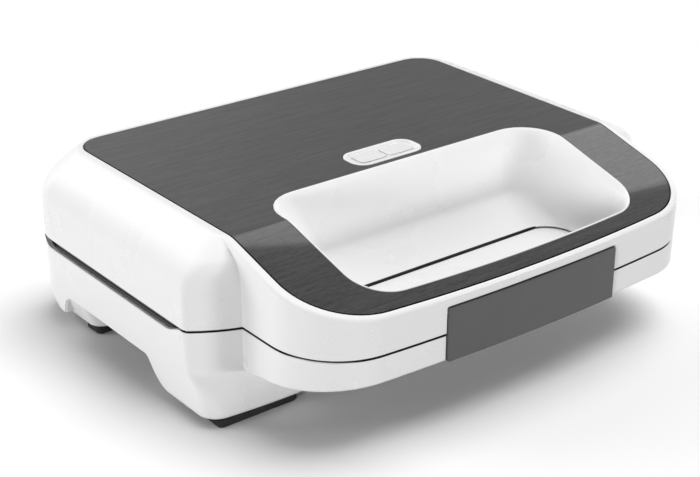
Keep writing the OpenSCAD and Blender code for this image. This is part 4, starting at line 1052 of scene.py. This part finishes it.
finish("ceramic_block", chalky, IOR=1.6)
finish("lamp_lens", milky_window, IOR=1.49, Transmission_Weight=0.12)
finish("lamp_red", tinted((0.55, 0.05, 0.03, 1), (0.62, 0.09, 0.05, 1)), IOR=1.5)
finish("lamp_green", tinted((0.05, 0.4, 0.12, 1), (0.09, 0.48, 0.16, 1)), IOR=1.5)

# %% [markdown]
# ## Lamp window
# The window is a white bezel with a raised rim and a sunk floor. Two milky
# pads of the lens stand in the floor, one over each lamp, and spread its
# light. The lens itself is a plate with both pads moulded on it.

# %% Make the bezel and the lens
LAMP_PITCH, PAD_HALF, PAD_DEPTH, PAD_R, LENS_R = 18.0, 8.6, 5.5, 2.2, 4.0
LENS_Z, FLANGE_Z, PANE_Z = DECK_Z - 3.2, DECK_Z - 1.6, TOP_Z - 0.5

def pads(name, steps):
    """Both pads as solids through (out, z) steps."""
    return [stack(name, lambda out: slab_outline(PAD_HALF + out, PAD_DEPTH + out, PAD_R + out)
                  + (sx * LAMP_PITCH / 2, -LAMP_Y), steps) for sx in (-1, 1)]

rim = [(0, FLANGE_Z), (0, TOP_Z + 0.05), (-0.1, TOP_Z + 0.27), (-0.4, TOP_Z + LIP_H)]
sunk = [(-1.9, TOP_Z - 0.6), (-1.75, PANE_Z), (-1.5, TOP_Z + 0.15), (-1.2, TOP_Z + 0.36), (-0.9, TOP_Z + 1)]
bezel = stack("lamp_window", lamp_outline, rim)
joined(bezel, stack("flange", lamp_outline, [(2.7, FLANGE_Z), (3, FLANGE_Z + 0.3), (3, DECK_Z - 0.02)]))
cut(bezel, stack("floor", lamp_outline, sunk),
    *pads("pad_hole", [(0, FLANGE_Z - 1), (0, TOP_Z - 0.7), (0.2, TOP_Z)]))
smoothed(bezel, 35)

lens = stack("lens", lambda out: slab_outline(LAMP_HALF + out, LAMP_DEPTH + out, LENS_R + out) - (0, LAMP_Y),
             [(0, LENS_Z), (0, FLANGE_Z - 0.15), (-0.15, FLANGE_Z)])
pad_steps = [(0, LENS_Z + 0.5), (0, PANE_Z), (-0.12, TOP_Z - 0.22), (-0.45, TOP_Z - 0.1)]
joined(lens, *pads("pad", [(out - CLEAR, z) for out, z in pad_steps]))
smoothed(lens, 35)
print("window:", len(bezel.data.polygons), "lens:", len(lens.data.polygons), "faces")

# %% [markdown]
# ## Repeated and bent pieces
# Eight screws hold the grill plates, four to each casing. One pan head with a
# cross recess is made once, and a node group sets a copy on every point of a
# small mesh. Points that hang head down carry a turn of their own.

# %% Set the screws with Geometry Nodes
PITCH, CORE_R, TIP_GAP = 1.4, SHANK_R - 0.35, 0.5

def round_points(radius, sides, way=1):
    turns = [way * 2 * math.pi * k / sides for k in range(sides)]
    return [(radius * math.cos(t), radius * math.sin(t)) for t in turns]

def quarter(way):
    return Matrix.Rotation(math.radians(way * 90), 4, "Z")

def pan_screw(name, length):
    """A screw about the Z axis, turned from (radius, z) steps that climb. Its head sits on height zero."""
    turns = range(int((length - 3) / PITCH))
    grooves = [(r, PITCH * k + z) for k in turns for r, z in ((SHANK_R, 0), (CORE_R, 0.7))]
    shank = [(0.8, -length), (CORE_R, -length + 1)] + [(r, z - length + 1.7) for r, z in grooves]
    dome = [(HEAD_R * math.cos(a) ** 0.6, HEAD_H * (0.25 + 0.75 * math.sin(a)))
            for a in np.radians((0, 25, 45, 62, 76, 86))]
    profile = shank + [(SHANK_R, -0.4), (SHANK_R, 0), (HEAD_R, 0)] + dome
    screw = swept(name, [[(x, y, z) for x, y in round_points(r, 36)] for r, z in profile])
    slot = [(-0.45, 0.9), (0.45, 0.9), (0.6, 3), (-0.6, 3)]
    cross = [moved(bar("recess", slot, 4.4), turn=quarter(way)) for way in (0, 1)]
    return smoothed(cut(screw, *cross), 35)

def node_group(name, **sockets):
    """An empty node group with a geometry input and some named inputs."""
    group = bpy.data.node_groups.new(name, "GeometryNodeTree")
    for label, kind in {"Geometry": "Geometry", **sockets}.items():
        group.interface.new_socket(label, in_out="INPUT", socket_type="NodeSocket" + kind)
    group.interface.new_socket("Geometry", in_out="OUTPUT", socket_type="NodeSocketGeometry")
    return group, group.nodes.new("NodeGroupInput").outputs

def add(group, kind, values, output=0, **settings):
    """One node with its settings and its inputs as values or sockets."""
    node = group.nodes.new(kind)
    for key, value in settings.items():
        setattr(node, key, value)
    for key, value in values.items():
        if isinstance(value, bpy.types.NodeSocket):
            group.links.new(value, node.inputs[key])
        else:
            node.inputs[key].default_value = value
    return node.outputs[output]

def finished(group, shape, look):
    """The end of a group: copies become plain mesh, which takes its finish."""
    real = add(group, "GeometryNodeRealizeInstances", {"Geometry": shape})
    painted = add(group, "GeometryNodeSetMaterial", {"Geometry": real, "Material": look})
    group.links.new(painted, group.nodes.new("NodeGroupOutput").inputs[0])

def worked(made, group, **values):
    """Runs a node group on an object, with its inputs set by identifier, and keeps the plain mesh."""
    step = made.modifiers.new(group.name, "NODES")
    step.node_group = group
    for item in group.interface.items_tree:
        if item.in_out == "INPUT" and item.name in values:
            step[item.identifier] = values[item.name]
    return settled(made)

screws_on_points, given = node_group("screws_on_points", Screw="Object", Turn="Vector", Finish="Material")
pattern = add(screws_on_points, "GeometryNodeObjectInfo", {"Object": given["Screw"]}, output="Geometry")
turn = add(screws_on_points, "FunctionNodeEulerToRotation", {0: given["Turn"]})
placed = add(screws_on_points, "GeometryNodeInstanceOnPoints",
             {"Points": given["Geometry"], "Instance": pattern, "Rotation": turn})
finished(screws_on_points, placed, given["Finish"])

def screw_set(name, z, length, turn):
    screw = pan_screw("screw_pattern", length)
    points = mesh_object(name, [(sx * SCREW_X, y, z) for sx in (-1, 1) for y in SCREW_Y], [])
    worked(points, screws_on_points, Screw=screw, Turn=turn, Finish=finishes["screw_steel"])
    bpy.data.objects.remove(screw)
    print(name, len(points.data.polygons), "faces")
    return points

LOW_SEAT = BELLY_Z + HEAD_H
upper_screws = screw_set("upper_screws", SEAT_Z, SEAT_Z - UPPER_BACK - TIP_GAP, (0, 0, 0))
lower_screws = screw_set("lower_screws", LOW_SEAT, LOWER_BACK - TIP_GAP - LOW_SEAT, (math.pi, 0, 0))

# %% [markdown]
# Each heating element is one steel tube, bent into an open loop that runs
# under both pockets. Its centre line is drawn with sharp corners. The node
# group rounds them to the bend radius and sweeps a circle along the line.

# %% Bend the heating elements with Geometry Nodes
BEND_R, COLD_PIN_R, COLD_PIN_L, TUBE_END = 18.0, 1.2, 10.0, 12.0
TUBE_X = POCKET_X + POCKET / 2 - 31
TUBE_FRONT, TUBE_REAR = POCKET_Y - POCKET / 2 + 15, POCKET_Y + POCKET / 2 - 15

tube_on_line, given = node_group("tube_on_line", Diameter="Float", Bend="Float", Finish="Material")
curve = add(tube_on_line, "GeometryNodeMeshToCurve", {"Mesh": given["Geometry"]})
bent = add(tube_on_line, "GeometryNodeFilletCurve",
           {0: curve, "Radius": given["Bend"], "Count": 14, "Limit Radius": True}, mode="POLY")
half = add(tube_on_line, "ShaderNodeMath", {0: given["Diameter"], 1: 0.5}, operation="MULTIPLY")
section = add(tube_on_line, "GeometryNodeCurvePrimitiveCircle", {"Resolution": 24, "Radius": half})
tube = add(tube_on_line, "GeometryNodeCurveToMesh",
           {"Curve": bent, "Profile Curve": section, "Fill Caps": True})
finished(tube_on_line, add(tube_on_line, "GeometryNodeSetShadeSmooth", {"Geometry": tube}), given["Finish"])

def element(name, z):
    corners = [(-TUBE_END, TUBE_REAR), (-TUBE_X, TUBE_REAR), (-TUBE_X, TUBE_FRONT),
               (TUBE_X, TUBE_FRONT), (TUBE_X, TUBE_REAR), (TUBE_END, TUBE_REAR)]
    links = [(k, k + 1) for k in range(len(corners) - 1)]
    loop = worked(mesh_object(name, [(x, y, z) for x, y in corners], [], links), tube_on_line,
                  Diameter=TUBE_D * SCALE, Bend=BEND_R * SCALE, Finish=finishes["element_steel"])
    for sx in (-1, 1):
        joined(loop, lying("cold_pin", sx * (TUBE_END - 4), COLD_PIN_L, COLD_PIN_R, TUBE_REAR, z))
    print(name, len(loop.data.polygons), "faces")
    return smoothed(loop, 40)

upper_loop = element("upper_loop", UPPER_BACK + TUBE_D / 2)
lower_loop = element("lower_loop", LOWER_BACK - TUBE_D / 2)

# %% [markdown]
# The cord gland is a black rubber sleeve in the rear wall, with a soft collar
# outside and a lip inside. Its bore is flared, so that a cord would not rub.
# The hinge and latch pins get chamfered ends.

# %% Turn the gland and the pins
GLAND_BORE = 3.4

def turned_y(name, profile, y=0.0, z=0.0, sides=64):
    """A turned solid about a line along Y from (radius, offset) steps that run forwards in Y."""
    return swept(name, [[(x, y + t, z + up) for x, up in round_points(r, sides, -1)] for r, t in profile])

sleeve = [(-0.6, -6.5), (0, -5.9), (0, -4.1), (2, -4.1), (2, -2.55), (0, -2.5),
          (0, 0), (2.4, 0.02), (2.4, 1.2), (2.1, 1.8), (1.4, 2.15), (0.8, 2.2)]
flare = [(0, -8), (0, 1), (0.25, 1.6), (0.9, 2.1), (1.2, 3)]
gland = turned_y("gland", [(GLAND_R + out, t) for out, t in sleeve], REAR_REACH, GLAND_Z)
cut(gland, turned_y("bore", [(GLAND_BORE + out, t) for out, t in flare], REAR_REACH, GLAND_Z))
smoothed(gland, 35)

def pin(name, x, length, radius, y, z, chamfer=0.25):
    half, small = length / 2, radius - chamfer
    steps = [(small, -half), (radius, chamfer - half), (radius, half - chamfer), (small, half)]
    return smoothed(moved(turned_y(name, steps, sides=40), x, y, z, quarter(-1)), 30)

left_pin = pin("left_pin", -HINGE_X, HINGE_PIN_L, HINGE_PIN_R, HINGE_Y, SEAM_Z)
right_pin = pin("right_pin", HINGE_X, HINGE_PIN_L, HINGE_PIN_R, HINGE_Y, SEAM_Z)
catch_pin = pin("catch_pin", 0, 2 * LATCH_HALF + 8, CATCH_PIN_R, PIVOT_Y, PIVOT_Z)
print("gland:", len(gland.data.polygons), "faces, pins:", round(HINGE_PIN_L, 1), "mm")

# %% [markdown]
# Each new piece takes the finish of its slot and rides on its body. Packed
# nodes that keep their own shape get the same finishes in their slots.

# %% Dress the pieces
for piece, slot, body, node in (
        (lid_shell, "white_plastic", "lid", "upper_casing"),
        (base_shell, "white_plastic", "base", "lower_casing"),
        (trim_sheet, "dark_trim", "lid", "trim_plate"),
        (latch_plate, "latch_plastic", "latch", "latch_clip"),
        (lower_grill, "nonstick_plate", "base", "lower_plate"),
        (upper_grill, "nonstick_plate", "lid", "upper_plate"),
        (bezel, "white_plastic", "lid", "lamp_bezel"),
        (lens, "lamp_lens", "lid", "lamp_lens"),
        (upper_screws, "screw_steel", "lid", "upper_plate_screws"),
        (lower_screws, "screw_steel", "base", "lower_plate_screws"),
        (upper_loop, "element_steel", "lid", "upper_element"),
        (lower_loop, "element_steel", "base", "lower_element"),
        (gland, "foot_rubber", "base", "cord_gland"),
        (catch_pin, "screw_steel", "lid", "latch_pin"),
        (left_pin, "screw_steel", "base", "left_hinge_pin"),
        (right_pin, "screw_steel", "base", "right_hinge_pin"),
        *[(foot, "foot_rubber", "base", f"{end}_{side}_foot") for (end, side), foot in feet.items()]):
    piece.data.materials.clear()
    piece.data.materials.append(finishes[slot])
    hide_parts(node)
    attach(piece, body)

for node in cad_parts.values():
    for held in node.material_slots:
        held.material = finishes[held.material.name.split(".")[0]]
print("nodes that keep their own shape:", sum(1 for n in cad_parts.values() if not n.hide_render))

# %% [markdown]
# ## Light
# The toaster stands on a plain white table under soft studio lamps. A broad
# one hangs overhead and makes the soft shadow under the body. Low ones at the
# left and in front light the upright walls without filling that shadow. None
# of them shows as a glint. The table looks white, but it throws less light
# back onto the casing than it shows to the eye.

# %% Lay the table and hang the lamps
TABLE_HALF, TABLE_SEEN, TABLE_BOUNCE = 4.0, 0.97, 0.4

def rays(tree, *kinds):
    """Wires that are 1 where a ray is of that kind, and 0 elsewhere."""
    path = tree.nodes.new("ShaderNodeLightPath").outputs
    return [Wire(tree, path[f"Is {kind} Ray"]) for kind in kinds]

def matt_table(where):
    camera, glossy, clear = rays(where.tree, "Camera", "Glossy", "Transmission")
    tone = where.noise(3)
    paint = tone.blend(grey(TABLE_SEEN - 0.005), grey(TABLE_SEEN))
    return {"Base Color": camera.most(glossy).most(clear).blend(grey(TABLE_BOUNCE), paint),
            "Roughness": tone.ramp(0.2, 0.8, 0.9, 0.95)}

table = mesh_object("table", [(sx * TABLE_HALF / SCALE, sy * TABLE_HALF / SCALE, 0)
                              for sx, sy in ((-1, -1), (1, -1), (1, 1), (-1, 1))], [(0, 1, 2, 3)])
table.data.materials.append(finish("table_paint", matt_table, Specular_IOR_Level=0.0))

LAMPS = {"right_high": (2.42, 50, (0.42, 0.0, 0.91)), "front_right": (0.33, 50, (0.3, -0.3, 0.91)),
         "rear": (0.57, 45, (0.0, 0.77, 0.64)), "left_rear": (1.33, 24, (-0.69, 0.69, 0.21)),
         "left": (1.6, 10, (-0.936, -0.341, 0.087)), "front": (1.05, 10, (0.341, -0.936, 0.087))}
for name, (strength, angle, source) in LAMPS.items():
    sun = bpy.data.lights.new(name, "SUN")
    sun.energy, sun.angle = strength, math.radians(angle)
    lamp = in_scene(name, sun)
    lamp.visible_glossy = False
    lamp.rotation_euler = Vector(source).to_track_quat("Z", "Y").to_euler()
print("lamps", {name: values[0] for name, values in LAMPS.items()})

# %% [markdown]
# The dome around them is what the lacquered trim mirrors: pale walls, a bright
# panel whose edge crosses the handle as a crisp line, and a dark strip above
# it. Every other ray finds the dome nearly black, so it adds almost no light.

# %% Paint the dome
AMBIENT, DOME_DARK, DOME_PANEL, DOME_WALL, WALL_SHADE = 0.015, 0.1, 1.75, 0.47, 0.62
PANEL_TURN, PANEL_EDGE, PANEL_FADE, WALL_FADE = 0.5604, (0.7124, 0.7134), (0.8, 0.97), (0.42, 0.62)

world = bpy.data.worlds.new("dome")
bpy.context.scene.world = world
world.use_nodes = True
dome = world.node_tree
ray = Wire(dome, dome.nodes.new("ShaderNodeTexCoord").outputs["Generated"])
seen, mirrored = rays(dome, "Camera", "Glossy")
toward_x, toward_y, _ = ray.axes()
low = toward_y + toward_x * PANEL_TURN
wall = toward_x.ramp(*WALL_FADE).blend(grey(DOME_WALL), grey(DOME_WALL * WALL_SHADE))
panel = low.ramp(*PANEL_FADE).blend(grey(DOME_PANEL), wall)
strip = low.ramp(*WALL_FADE).blend(grey(DOME_WALL), grey(DOME_DARK))
level = mirrored.blend(grey(AMBIENT), low.ramp(*PANEL_EDGE).blend(strip, panel))
seen.feed(dome.nodes["Background"].inputs["Color"], seen.blend(level, grey(1.0)))
print("dome levels", DOME_DARK, DOME_PANEL, DOME_WALL)

# %% [markdown]
# The last cell sets the Standard view transform and updates the view layer.

# %% Finish
bpy.context.scene.view_settings.view_transform = "Standard"
bpy.context.view_layer.update()
